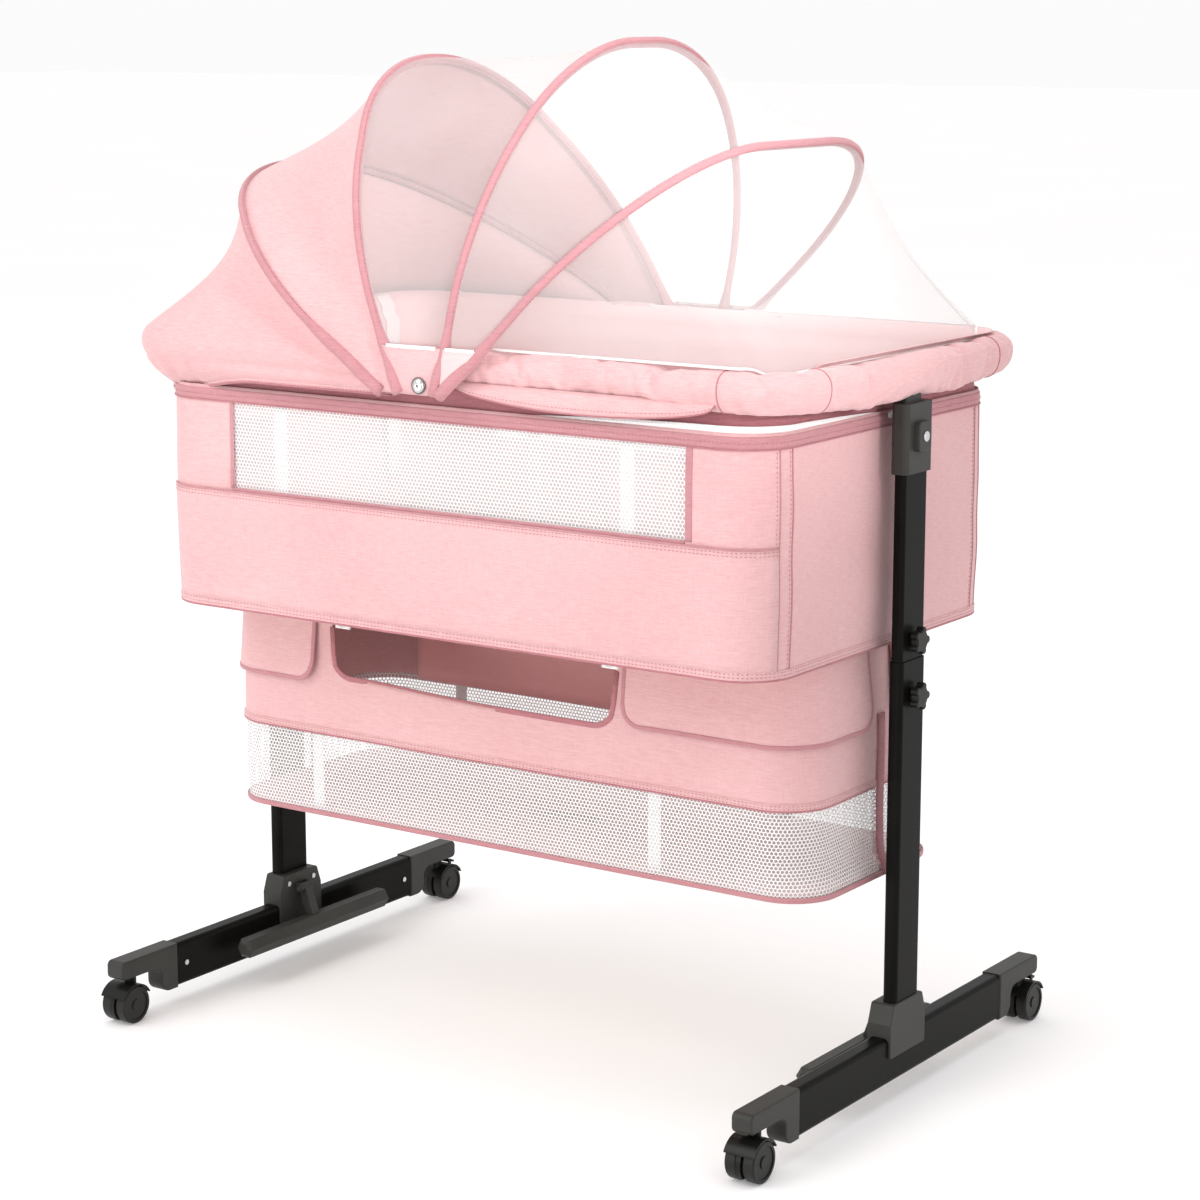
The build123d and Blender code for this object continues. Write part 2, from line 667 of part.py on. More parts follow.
def canopy_hubs():
    """Front and rear: a block clamped under the rail tube, the pivot pin, and its cap."""
    cap_y = max(hoop["ear_y"] for hoop in HOOPS.values()) + EAR_THICK + HUB_CAP_GAP
    with BuildPart() as hubs:
        with BuildSketch(Plane.XY.offset(HUB_Z - HUB_BLOCK_DROP)):
            hub_block_box(0)
        extrude(amount=RAIL_Z - HUB_Z + HUB_BLOCK_DROP)
        with BuildSketch(Plane.YZ):
            with Locations((-RAIL_Y, RAIL_Z), (RAIL_Y, RAIL_Z)):
                Circle(RAIL_TUBE_RADIUS)
        extrude(amount=RAIL_X / 2, both=True, mode=Mode.SUBTRACT)
        for side in (-1, 1):
            with BuildSketch(Plane.XZ.offset(side * (RAIL_Y + HUB_BLOCK[1] - 1))):
                with Locations((HUB_X, HUB_Z)):
                    Circle(HUB_PIN_RADIUS)
            extrude(amount=side * (cap_y - RAIL_Y - HUB_BLOCK[1] + 2))
            with BuildSketch(Plane.XZ.offset(side * cap_y)):
                with Locations((HUB_X, HUB_Z)):
                    Circle(HUB_CAP_RADIUS)
            extrude(amount=side * HUB_CAP_THICK)
        tips = hubs.faces().filter_by(Axis.Y).sort_by(Axis.Y)
        fillet(ShapeList([tips[0], tips[-1]]).edges(), 1.5)
    return hubs.part


def zipper_pull():
    with BuildPart() as pull:
        with BuildSketch(Plane.YZ.offset(TUB_X + 1.0)):
            with Locations((PULL_Y, PULL_Z)):
                SlotOverall(PULL[1], PULL[2])
                with Locations((PULL[1] / 2 - 4, 0)):
                    Circle(2, mode=Mode.SUBTRACT)
        extrude(amount=PULL[0])
    return pull.part


# ============================ fabric tub =====================================


def tub_long_panel():
    """Flat front panel with its window opening."""
    with BuildPart() as panel:
        with BuildSketch(Plane.XZ.offset(TUB_Y)):
            with Locations((0, (TUB_BOTTOM_Z + TUB_TOP_Z) / 2)):
                Rectangle(2 * (TUB_X - TUB_CORNER), TUB_TOP_Z - TUB_BOTTOM_Z)
            with Locations((WINDOW_MID_X, (WINDOW_BOTTOM_Z + WINDOW_TOP_Z) / 2)):
                Rectangle(
                    WINDOW_WIDE, WINDOW_TOP_Z - WINDOW_BOTTOM_Z, mode=Mode.SUBTRACT
                )
        extrude(amount=-TUB_WALL)
    return panel.part


def window_net():
    with BuildPart() as net:
        with BuildSketch(Plane.XZ.offset(TUB_Y - 0.5)):
            with Locations((WINDOW_MID_X, (WINDOW_BOTTOM_Z + WINDOW_TOP_Z) / 2)):
                Rectangle(WINDOW_WIDE, WINDOW_TOP_Z - WINDOW_BOTTOM_Z)
        extrude(amount=-NET_THICK)
    return net.part


def wrapped_end(half_x, half_y, corner, wall, bottom_z, top_z):
    """Right end of a fabric box: the flat end with both rounded corners."""
    with BuildPart() as end:
        with BuildSketch(Plane.XY.offset(bottom_z)):
            rounded_ring(half_x, half_y, corner, wall)
            with Locations((-corner, 0)):
                Rectangle(2 * half_x, 2 * half_y + 2, mode=Mode.SUBTRACT)
        extrude(amount=top_z - bottom_z)
    return end.part


def floor_board(half_x, half_y, corner, wall, bottom_z, thick):
    play = wall + 0.1
    with BuildPart() as board:
        with BuildSketch(Plane.XY.offset(bottom_z)):
            RectangleRounded(
                2 * (half_x - play), 2 * (half_y - play), corner - play
            )
        extrude(amount=thick)
    return board.part


def mattress():
    with BuildPart() as pad:
        with BuildSketch(Plane.XY.offset(TUB_BOTTOM_Z + BOARD_THICK + 0.2)):
            RectangleRounded(MATTRESS[0], MATTRESS[1], MATTRESS_CORNER)
        extrude(amount=MATTRESS[2])
        fillet(pad.faces().sort_by(Axis.Z)[-1].edges(), 12)
    return pad.part


# ============================ basket =========================================


def basket_front():
    """Flat front of the basket, with the access slot open to the tub's underside."""
    slot_mid = (SLOT_LEFT_X + SLOT_RIGHT_X) / 2
    slot_high = BASKET_TOP_Z - SLOT_BOTTOM_Z
    with BuildPart() as front:
        with BuildSketch(Plane.XZ.offset(BASKET_Y)):
            with Locations((0, (BASKET_BOTTOM_Z + BASKET_TOP_Z) / 2)):
                Rectangle(2 * (BASKET_X - BASKET_CORNER), BASKET_TOP_Z - BASKET_BOTTOM_Z)
            with Locations((slot_mid, BASKET_TOP_Z)):
                RectangleRounded(
                    SLOT_RIGHT_X - SLOT_LEFT_X,
                    2 * slot_high,
                    SLOT_CORNER,
                    mode=Mode.SUBTRACT,
                )
        extrude(amount=-BASKET_WALL)
    return front.part


def basket_rear():
    with BuildPart() as rear:
        with BuildSketch(Plane.XZ.offset(-BASKET_Y)):
            with Locations((0, (BASKET_BOTTOM_Z + BASKET_TOP_Z) / 2)):
                Rectangle(2 * (BASKET_X - BASKET_CORNER), BASKET_TOP_Z - BASKET_BOTTOM_Z)
        extrude(amount=BASKET_WALL)
    return rear.part


# ============================ canopy =========================================


def arch_plane(arch, base_z):
    """Plane of one arch: its local X is the object's Y, its local Y runs up the arch."""
    lean = radians(arch["lean"])
    return Plane(
        origin=(arch["x"], 0, base_z),
        x_dir=(0, 1, 0),
        z_dir=(sin(lean), 0, -cos(lean)),
    )


def arch_corners(arch, half_width, inset):
    """Corner points and fillet radii whose rounded outline follows the arch.

    The sloping side is tangent to a superellipse of the given squareness, and each
    fillet is as large as the sides beside it allow.
    """
    high = arch["high"] - inset
    wide = half_width - inset
    reach = 2 * 2 ** (-1 / arch["square"]) - 1
    slope = (1 - reach) * hypot(wide, high)
    top_tangent = 0.97 * min(reach * wide, slope / 2)
    side_tangent = 0.97 * min(reach * high, slope - top_tangent)
    side_turn = atan(wide / high)
    top_turn = radians(90) - side_turn
    points = [
        (-wide, 0),
        (-wide, reach * high),
        (-reach * wide, high),
        (reach * wide, high),
        (wide, reach * high),
        (wide, 0),
    ]
    side_radius = side_tangent / tan(side_turn / 2)
    top_radius = top_tangent / tan(top_turn / 2)
    return points, [side_radius, top_radius, top_radius, side_radius]


def hoop(arch):
    """One wire arch with a flat pivot ear at each foot."""
    base = Vector(arch["x"] - HUB_X, HOOP_BASE_Z - HUB_Z)
    middle = (HUB_X + base.X / 2, HUB_Z + base.Y / 2)
    slope = degrees(atan2(base.Y, base.X))
    boss_reach = HOOP_RADIUS + 0.4
    boss_radius = HOOP_RADIUS + 1.0
    boss_inner = min(arch["ear_y"], HOOP_HALF_WIDTH - boss_reach)
    boss_outer = max(arch["ear_y"] + EAR_THICK, HOOP_HALF_WIDTH + boss_reach)
    plane = arch_plane(arch, HOOP_BASE_Z)
    points, radii = arch_corners(arch, HOOP_HALF_WIDTH, 0)
    with BuildPart() as wire:
        with BuildLine(plane) as path:
            FilletPolyline(*points, radius=radii)
        start = path.wire() @ 0
        with BuildSketch(Plane(origin=start, z_dir=path.wire() % 0)):
            Circle(HOOP_RADIUS)
        sweep(path=path.wire())
        for side in (-1, 1):
            with BuildSketch(Plane.XZ.offset(side * arch["ear_y"])):
                with Locations(Location((middle[0], middle[1], 0), (0, 0, slope))):
                    SlotCenterToCenter(base.length, EAR_WIDE)
                with Locations((HUB_X, HUB_Z)):
                    Circle(HUB_PIN_RADIUS + RUNNING_FIT, mode=Mode.SUBTRACT)
            extrude(amount=side * EAR_THICK)
            with BuildSketch(Plane.XZ.offset(side * boss_inner)):
                with Locations((arch["x"], HOOP_BASE_Z)):
                    Circle(boss_radius)
            extrude(amount=side * (boss_outer - boss_inner))
    return wire.part


def between(first, second, share):
    """Arch settings part of the way from one arch to the next."""
    keys = ("x", "lean", "high", "square", "z")
    return {key: first[key] + share * (second[key] - first[key]) for key in keys}


def canopy_panel(first, second, gap_first, gap_second):
    """Skin between two arches, kept clear of the wires by the gaps at its edges."""
    near = between(first, second, gap_first)
    far = between(first, second, 1 - gap_second)
    with BuildPart() as skin:
        for arch in (near, far):
            outer, outer_radii = arch_corners(arch, HOOP_HALF_WIDTH - 1, 0)
            inner, inner_radii = arch_corners(arch, HOOP_HALF_WIDTH - 1, CANOPY_SKIN)
            with BuildSketch(arch_plane(arch, arch["z"])):
                with BuildLine():
                    FilletPolyline(*outer, radius=outer_radii)
                    FilletPolyline(*inner, radius=inner_radii)
                    Line(outer[0], inner[0])
                    Line(outer[-1], inner[-1])
                make_face()
        loft(ruled=True)
    return skin.part


# ============================ write the pieces ===============================

save_both_ends(floor_beam(), "floor_beam")
save_both_ends(saddle(), "saddle")
save_both_ends(leg_fasteners(), "leg_fasteners")
save_both_ends(lower_post(), "lower_post")
save_both_ends(foot_bar(), "foot_bar")
save_both_ends(star_knob(POST_X + LOWER_POST[0] / 2, CLAMP_KNOB_Z, WALL), "clamp_knob")

rear_cap = end_cap()
save_both_ends(rear_cap, "rear_cap")
save_both_ends(mirror(rear_cap, about=Plane.XZ), "front_cap")

save_both_ends(caster_yoke(True), "rear_yoke")
save_both_ends(brake_lever(), "rear_brake_lever")
save_both_ends(mirror(caster_yoke(False), about=Plane.XZ), "front_yoke")
rear_wheels = twin_wheels()
save_both_ends(rear_wheels, "rear_wheels")
save_both_ends(mirror(rear_wheels, about=Plane.XZ), "front_wheels")

save_both_ends(upper_post(), "upper_post")
save_both_ends(star_knob(POST_X + UPPER_POST[0] / 2, STOP_KNOB_Z, 4.0), "stop_knob")
save_both_ends(collar(), "collar")
save_both_ends(push_button(), "push_button")

save(rail_loop(RAIL_TUBE_RADIUS, RAIL_TUBE_RADIUS - RAIL_TUBE_WALL), "rail_tube")
save(rail_pad(), "rail_pad")
save(canopy_hubs(), "canopy_hubs")
save(zipper_pull(), "zipper_pull")

front_panel = tub_long_panel()
front_net = window_net()
tub_end = wrapped_end(TUB_X, TUB_Y, TUB_CORNER, TUB_WALL, TUB_BOTTOM_Z, TUB_TOP_Z)
save(front_panel, "tub_front_panel")
save(mirror(front_panel, about=Plane.XZ), "tub_rear_panel")
save(front_net, "front_window_net")
save(mirror(front_net, about=Plane.XZ), "rear_window_net")
save(tub_end, "tub_foot_end")
save(mirror(tub_end, about=Plane.YZ), "tub_head_end")
save(
    floor_board(TUB_X, TUB_Y, TUB_CORNER, TUB_WALL, TUB_BOTTOM_Z, BOARD_THICK),
    "tub_floor_board",
)
save(mattress(), "mattress")

basket_end = wrapped_end(
    BASKET_X, BASKET_Y, BASKET_CORNER, BASKET_WALL, BASKET_BOTTOM_Z, BASKET_TOP_Z
)
save(basket_front(), "basket_front")
save(basket_rear(), "basket_rear")
save(basket_end, "basket_foot_end")
save(mirror(basket_end, about=Plane.YZ), "basket_head_end")
save(
    floor_board(
        BASKET_X, BASKET_Y, BASKET_CORNER, BASKET_WALL, BASKET_BOTTOM_Z, BOARD_THICK
    ),
    "basket_floor_board",
)

for letter, arch in HOOPS.items():
    save(hoop(arch), f"canopy_hoop_{letter}")

ARCHES = {letter: dict(arch, z=HOOP_BASE_Z) for letter, arch in HOOPS.items()}
ARCHES["head"] = dict(HEAD_END, z=CANOPY_REST_Z)
ARCHES["foot"] = dict(FOOT_END, z=CANOPY_REST_Z)
CANOPY_PANELS = {
    "canopy_head_shade": ("a", "head", 0.12, 0.0),
    "canopy_front_shade": ("a", "b", 0.10, 0.10),
    "canopy_middle_net": ("b", "c", 0.10, 0.30),
    "canopy_front_net": ("c", "d", 0.17, 0.17),
    "canopy_foot_net": ("d", "foot", 0.12, 0.0),
}
for name, (first, second, gap_first, gap_second) in CANOPY_PANELS.items():
    save(canopy_panel(ARCHES[first], ARCHES[second], gap_first, gap_second), name)
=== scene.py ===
"""Looks of the bedside bassinet: fabric, nets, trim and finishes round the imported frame.

Metres, in the frame's own axes: X along the bed with the head end at -X, the access
side at -Y and +Z up. Places come from the CAD nodes; the sewing sizes are named below.
"""

import json
import math

import bmesh
import bpy
import numpy as np
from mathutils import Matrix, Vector, noise
from mathutils.bvhtree import BVHTree


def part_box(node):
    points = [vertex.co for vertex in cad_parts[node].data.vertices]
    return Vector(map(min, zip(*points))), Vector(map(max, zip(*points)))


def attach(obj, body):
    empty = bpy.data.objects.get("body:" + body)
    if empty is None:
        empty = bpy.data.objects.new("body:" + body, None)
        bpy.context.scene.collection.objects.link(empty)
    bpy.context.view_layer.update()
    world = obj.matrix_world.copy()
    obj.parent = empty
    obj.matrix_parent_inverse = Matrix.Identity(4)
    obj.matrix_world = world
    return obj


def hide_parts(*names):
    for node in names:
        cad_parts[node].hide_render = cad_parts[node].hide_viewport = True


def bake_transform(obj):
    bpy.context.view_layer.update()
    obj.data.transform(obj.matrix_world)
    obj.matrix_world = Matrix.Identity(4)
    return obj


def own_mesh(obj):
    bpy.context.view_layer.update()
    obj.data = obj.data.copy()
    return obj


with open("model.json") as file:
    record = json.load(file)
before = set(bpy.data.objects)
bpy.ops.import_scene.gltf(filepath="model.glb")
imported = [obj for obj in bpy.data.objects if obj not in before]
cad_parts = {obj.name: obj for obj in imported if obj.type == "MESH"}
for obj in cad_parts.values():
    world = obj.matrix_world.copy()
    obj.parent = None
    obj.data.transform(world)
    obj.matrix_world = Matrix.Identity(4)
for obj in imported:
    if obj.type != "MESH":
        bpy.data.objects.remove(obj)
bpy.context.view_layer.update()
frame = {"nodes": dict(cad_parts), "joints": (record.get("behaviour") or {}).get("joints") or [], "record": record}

UP = np.array((0.0, 0.0, 1.0))

# ---- places read from the frame ---------------------------------------------
TUBE = (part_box("rail_tube")[1].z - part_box("rail_tube")[0].z) / 2
RAIL_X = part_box("rail_tube")[1].x - TUBE
RAIL_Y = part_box("rail_tube")[1].y - TUBE
RAIL_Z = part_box("rail_tube")[1].z - TUBE
RAIL_CORNER = 0.058
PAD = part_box("rail_pad")[1].z - RAIL_Z

TUB_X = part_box("tub_foot_end")[1].x
TUB_Y = -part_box("tub_front_panel")[0].y
TUB_CORNER = TUB_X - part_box("tub_front_panel")[1].x
TUB_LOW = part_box("tub_front_panel")[0].z
TUB_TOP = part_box("tub_front_panel")[1].z
WINDOW_LOW, WINDOW_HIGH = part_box("front_window_net")

BASKET_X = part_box("basket_foot_end")[1].x
BASKET_Y = -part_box("basket_front")[0].y
BASKET_CORNER = BASKET_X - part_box("basket_front")[1].x
BASKET_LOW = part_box("basket_front")[0].z
BASKET_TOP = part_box("basket_front")[1].z

HUB = Vector(next(j["pos_m"] for j in frame["joints"] if j["name"] == "hoop_a_fold"))

# ---- canopy -----------------------------------------------------------------
WIRE = 0.0035
HOOP_BASE_Z = 0.868
HOOP_HALF_WIDTH = 0.2945
HOOPS = {  # where each wire starts over the rail, and how square its arch is
    "a": dict(x=-0.120, square=1.98),
    "b": dict(x=-0.050, square=1.90),
    "c": dict(x=0.028, square=2.25),
    "d": dict(x=0.067, square=2.84),
}
CANOPY_HEM_Z = 0.828
SKIRT_Y = 0.3012            # the canopy's lowest edge, just under the hub caps
NET_LOW_Z = 0.882           # white tape where the veils stop and the gussets begin
SLEEVE = 0.0047
SLEEVE_SEAM = 0.0052        # how far inside the wire its seam allowance lies
FOOT_SWELL = 0.6            # the sleeves are this much thicker at their feet
HUB_RIM = 0.0085
ARCH_POINTS = 161
HOOD_TAUT = 17              # rows of the hood down to the padded rail
HOOD_WRAP = 6               # rows of the hood round the padded rail
HOOD_DROP = 8               # rows of the hood below it

# ---- sewing -----------------------------------------------------------------
CLOTH_THICK = 0.0009
STITCH_LONG = 0.0034
STITCH_GAP = 0.0018
STITCH_RADIUS = 0.00045
BINDING_LOW = 0.7935        # rose binding round the top of the tub
BINDING_TOP = 0.8080
WALL_TOP = 0.8115
POCKET_TOP = 0.686
ZIP_TAPE = 0.0125
UPPER_TAPE = 0.03
HEM = 0.011
DRAPE_IN = -0.0305          # the upper liner hangs this far inside the rail's axis
HEAD_STRAP_Y = 0.185
BAND_LOW = 0.367            # fabric band of the basket, over its net
SLOT_LEFT = -0.262
SLOT_RIGHT = 0.172
SLOT_LOW = 0.434
SLOT_CORNER = 0.034
SLOT_RISE = 0.042

# ---- camera -----------------------------------------------------------------
CAMERA_TARGET = Vector((0.0395, 0.0008, 0.5462))
CAMERA_AZIMUTH = math.radians(34.56)
CAMERA_ELEVATION = math.radians(11.24)
CAMERA_DISTANCE = 3.675
CAMERA_LENS = 89.9


# ============================ mesh helpers ===================================


def add_mesh(name, points, faces, material, uvs=None):
    """A smooth-shaded mesh object; uvs holds one (u, v) per face corner, in metres."""
    mesh = bpy.data.meshes.new(name)
    mesh.from_pydata([tuple(p) for p in points], [], faces)
    if uvs is not None:
        layer = mesh.uv_layers.new(name="cloth")
        layer.data.foreach_set("uv", np.asarray(uvs, np.float32).ravel())
    mesh.polygons.foreach_set("use_smooth", [True] * len(mesh.polygons))
    mesh.materials.append(material)
    obj = bpy.data.objects.new(name, mesh)
    bpy.context.scene.collection.objects.link(obj)
    return obj


def spaced_sums(points, axis):
    """Mean running length of a lattice of points along one of its axes."""
    steps = np.linalg.norm(np.diff(points, axis=axis), axis=2).mean(axis=1 - axis)
    return np.concatenate([[0.0], np.cumsum(steps)])


def lattice(name, points, material, closed=False, missing=None, thick=CLOTH_THICK):
    """A sheet through rows of points. missing(row, column) leaves that cell open."""
    points = np.asarray(points, float)
    rows, columns = points.shape[:2]
    wide = points if not closed else np.concatenate([points, points[:, :1]], axis=1)
    u, v = spaced_sums(wide, 1), spaced_sums(points, 0)
    faces, uvs = [], []
    for r in range(rows - 1):
        for c in range(columns if closed else columns - 1):
            if missing and missing(r, c):
                continue
            d = (c + 1) % columns
            faces.append(
                (r * columns + c, r * columns + d, (r + 1) * columns + d, (r + 1) * columns + c)
            )
            uvs += [(u[c], v[r]), (u[c + 1], v[r]), (u[c + 1], v[r + 1]), (u[c], v[r + 1])]
    obj = add_mesh(name, points.reshape(-1, 3), faces, material, uvs)
    if missing:
        remove_loose(obj)
    if thick:
        solid = obj.modifiers.new("cloth_thickness", "SOLIDIFY")
        solid.thickness = thick
        solid.offset = 0.0
    return obj


def remove_loose(obj):
    """Deletes the points that no face uses."""
    edit = bmesh.new()
    edit.from_mesh(obj.data)
    bmesh.ops.delete(edit, geom=[v for v in edit.verts if not v.link_faces], context="VERTS")
    edit.to_mesh(obj.data)
    edit.free()


def unit(vectors):
    vectors = np.asarray(vectors, float)
    return vectors / np.maximum(np.linalg.norm(vectors, axis=-1, keepdims=True), 1e-9)


def resampled(points, count):
    """The same path with its points evenly spaced."""
    points = np.asarray(points, float)
    run = np.concatenate([[0], np.cumsum(np.linalg.norm(np.diff(points, axis=0), axis=1))])
    at = np.linspace(0, run[-1], count)
    return np.stack([np.interp(at, run, points[:, k]) for k in range(points.shape[1])], 1)


def frames_along(path, outward, closed):
    """Outward and sideways directions at each point of a path."""
    ahead = np.roll(path, -1, 0) - np.roll(path, 1, 0)
    if not closed:
        ahead[0], ahead[-1] = path[1] - path[0], path[-1] - path[-2]
    ahead = unit(ahead)
    outward = np.broadcast_to(np.asarray(outward, float), path.shape)
    outward = unit(outward - (outward * ahead).sum(1, keepdims=True) * ahead)
    return outward, np.cross(ahead, outward)


def sweep(name, path, outward, section, material, closed=False, swell=None):
    """Runs a section of (outward, sideways) offsets along a path, swollen by a factor."""
    path = np.asarray(path, float)
    out, side = frames_along(path, outward, closed)
    count = len(section)
    swell = np.ones(len(path)) if swell is None else swell
    points = [
        p + w * (a * o + b * s) for p, o, s, w in zip(path, out, side, swell) for a, b in section
    ]
    faces = []
    for i in range(len(path) if closed else len(path) - 1):
        j = (i + 1) % len(path)
        for k in range(count):
            m = (k + 1) % count
            faces.append((i * count + k, i * count + m, j * count + m, j * count + k))
    if not closed:
        faces.append(tuple(range(count))[::-1])
        faces.append(tuple((len(path) - 1) * count + k for k in range(count)))
    return add_mesh(name, points, faces, material)


def round_section(radius, sides=10):
    turn = [2 * math.pi * k / sides for k in range(sides)]
    return [(radius * math.cos(t), radius * math.sin(t)) for t in turn]


def tape_section(thick, wide, sides=12):
    """A flat tape's outline with rounded edges."""
    outline = []
    for k in range(sides):
        t = 2 * math.pi * (k + 0.5) / sides
        c, s = math.cos(t), math.sin(t)
        outline.append(
            (
                thick / 2 * math.copysign(abs(c) ** 0.7, c),
                wide / 2 * math.copysign(abs(s) ** 0.35, s),
            )
        )
    return outline


def joined(name, parts):
    """One object out of several loose meshes with the same material."""
    points, faces = [], []
    for part in parts:
        start = len(points)
        points += [tuple(v.co) for v in part.data.vertices]
        faces += [tuple(start + i for i in p.vertices) for p in part.data.polygons]
    material = parts[0].data.materials[0]
    for part in parts:
        bpy.data.objects.remove(part)
    return add_mesh(name, points, faces, material)


def stitch_row(path, outward, lift, closed=False):
    """Points and faces of one row of thread stitches lying on a path."""
    path = np.asarray(path, float)
    if closed:
        path = np.concatenate([path, path[:1]])
        outward = np.concatenate([outward, outward[:1]]) if np.ndim(outward) > 1 else outward
    run = np.concatenate([[0], np.cumsum(np.linalg.norm(np.diff(path, axis=0), axis=1))])
    out, side = frames_along(path, outward, False)
    pitch = STITCH_LONG + STITCH_GAP
    starts = np.arange(0.001, run[-1] - STITCH_LONG, pitch)
    points, faces = [], []

    def on_path(at, values):
        return np.stack([np.interp(at, run, values[:, k]) for k in range(3)], 1)

    bodies = [on_path(starts + STITCH_LONG * f, path) for f in (0, 0.5, 1)]
    outs, sides = on_path(starts, out), on_path(starts, side)
    for k in range(len(starts)):
        first = len(points)
        base = outs[k] * lift
        points += [bodies[0][k] + base * 0.2, bodies[2][k] + base * 0.2]
        for a, b in ((1, 0), (0, 1), (-1, 0), (0, -1)):
            points.append(
                bodies[1][k] + base + STITCH_RADIUS * (a * outs[k] + b * sides[k])
            )
        for q in range(4):
            a, b = first + 2 + q, first + 2 + (q + 1) % 4
            faces += [(first, a, b), (first + 1, b, a)]
    return points, faces


def stitches(name, rows, material):
    """One object of several stitch rows, each (path, outward, lift, closed)."""
    points, faces = [], []
    for row in rows:
        more, cells = stitch_row(*row)
        faces += [tuple(len(points) + i for i in cell) for cell in cells]
        points += more
    return add_mesh(name, points, faces, material)


class Ring:
    """A rounded rectangle seen from above, measured from the middle of the front (-Y)
    side towards the foot end. Negative distances run towards the head end."""

    def __init__(self, half_x, half_y, corner):
        self.flat_x, self.flat_y, self.corner = half_x - corner, half_y - corner, corner
        self.quarter = math.pi * corner / 2
        self.length = 4 * (self.flat_x + self.flat_y + self.quarter)

    def at(self, distance):
        """x, y and the outward normal's x, y at that distance."""
        d = distance % self.length
        second_half = d > self.length / 2
        if second_half:
            d = self.length - d
        if d <= self.flat_x:
            x, y, turn = d, -self.flat_y - self.corner, -math.pi / 2
        elif d <= self.flat_x + self.quarter:
            turn = -math.pi / 2 + (d - self.flat_x) / self.corner
            x = self.flat_x + self.corner * math.cos(turn)
            y = -self.flat_y + self.corner * math.sin(turn)
        elif d <= self.flat_x + self.quarter + 2 * self.flat_y:
            x, turn = self.flat_x + self.corner, 0.0
            y = -self.flat_y + d - self.flat_x - self.quarter
        elif d <= self.flat_x + 2 * self.quarter + 2 * self.flat_y:
            turn = (d - self.flat_x - self.quarter - 2 * self.flat_y) / self.corner
            x = self.flat_x + self.corner * math.cos(turn)
            y = self.flat_y + self.corner * math.sin(turn)
        else:
            x, y, turn = self.length / 2 - d, self.flat_y + self.corner, math.pi / 2
        nx, ny = math.cos(turn), math.sin(turn)
        return (-x, y, -nx, ny) if second_half else (x, y, nx, ny)

    def point(self, distance, outset, z):
        x, y, nx, ny = self.at(distance)
        return np.array((x + outset * nx, y + outset * ny, z))

    def normal(self, distance):
        return np.array((*self.at(distance)[2:], 0.0))

    def path(self, start, end, z, outset=0.0, step=0.008):
        """Points and normals from start to end; z and outset may be functions."""
        count = max(2, math.ceil(abs(end - start) / step) + 1)
        at = np.linspace(start, end, count)
        height = z if callable(z) else (lambda d: z)
        offset = outset if callable(outset) else (lambda d: outset)
        points = np.array([self.point(d, offset(d), height(d)) for d in at])
        return points, np.array([self.normal(d) for d in at])

    def grid(self, at, levels, outset):
        """Rows of points, one row at each level; outset is a function of place and height."""
        return [[self.point(d, outset(d, z), z) for d in at] for z in levels]

    def upright(self, d, levels, outset):
        """Points straight up the wall at one place."""
        return np.array([self.point(d, outset(d, z), z) for z in levels])

    def loop(self, z, outset=0.0, step=0.008):
        points, normals = self.path(0, self.length, z, outset, step)
        return points[:-1], normals[:-1]


def smooth_step(low, high, x):
    t = min(max((x - low) / (high - low), 0.0), 1.0)
    return t * t * (3 - 2 * t)


def ripple(*where, scale=12.0):
    """A soft, repeatable unevenness between about -0.5 and 0.5."""
    return noise.noise(Vector(where) * scale)


def breaks(start, end, step, *inside):
    """Evenly spaced values from start to end that also pass through those inside."""
    stops = sorted({start, end, *[b for b in inside if start < b < end]})
    values = []
    for a, b in zip(stops, stops[1:]):
        values += list(np.linspace(a, b, max(1, math.ceil((b - a) / step)) + 1)[:-1])
    return values + [end]


def on_bed(slot, *pieces):
    """The pieces ride on the bed; slot is not used."""
    for piece in pieces:
        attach(piece, "bed")


def cloth_sheet(obj, wide, long, held, rests_on, trims=()):
    """Rounds a sheet's cut sizes; nothing else is done with them."""
    wide, long = round(wide, 3), round(long, 3)


# ============================ materials ======================================


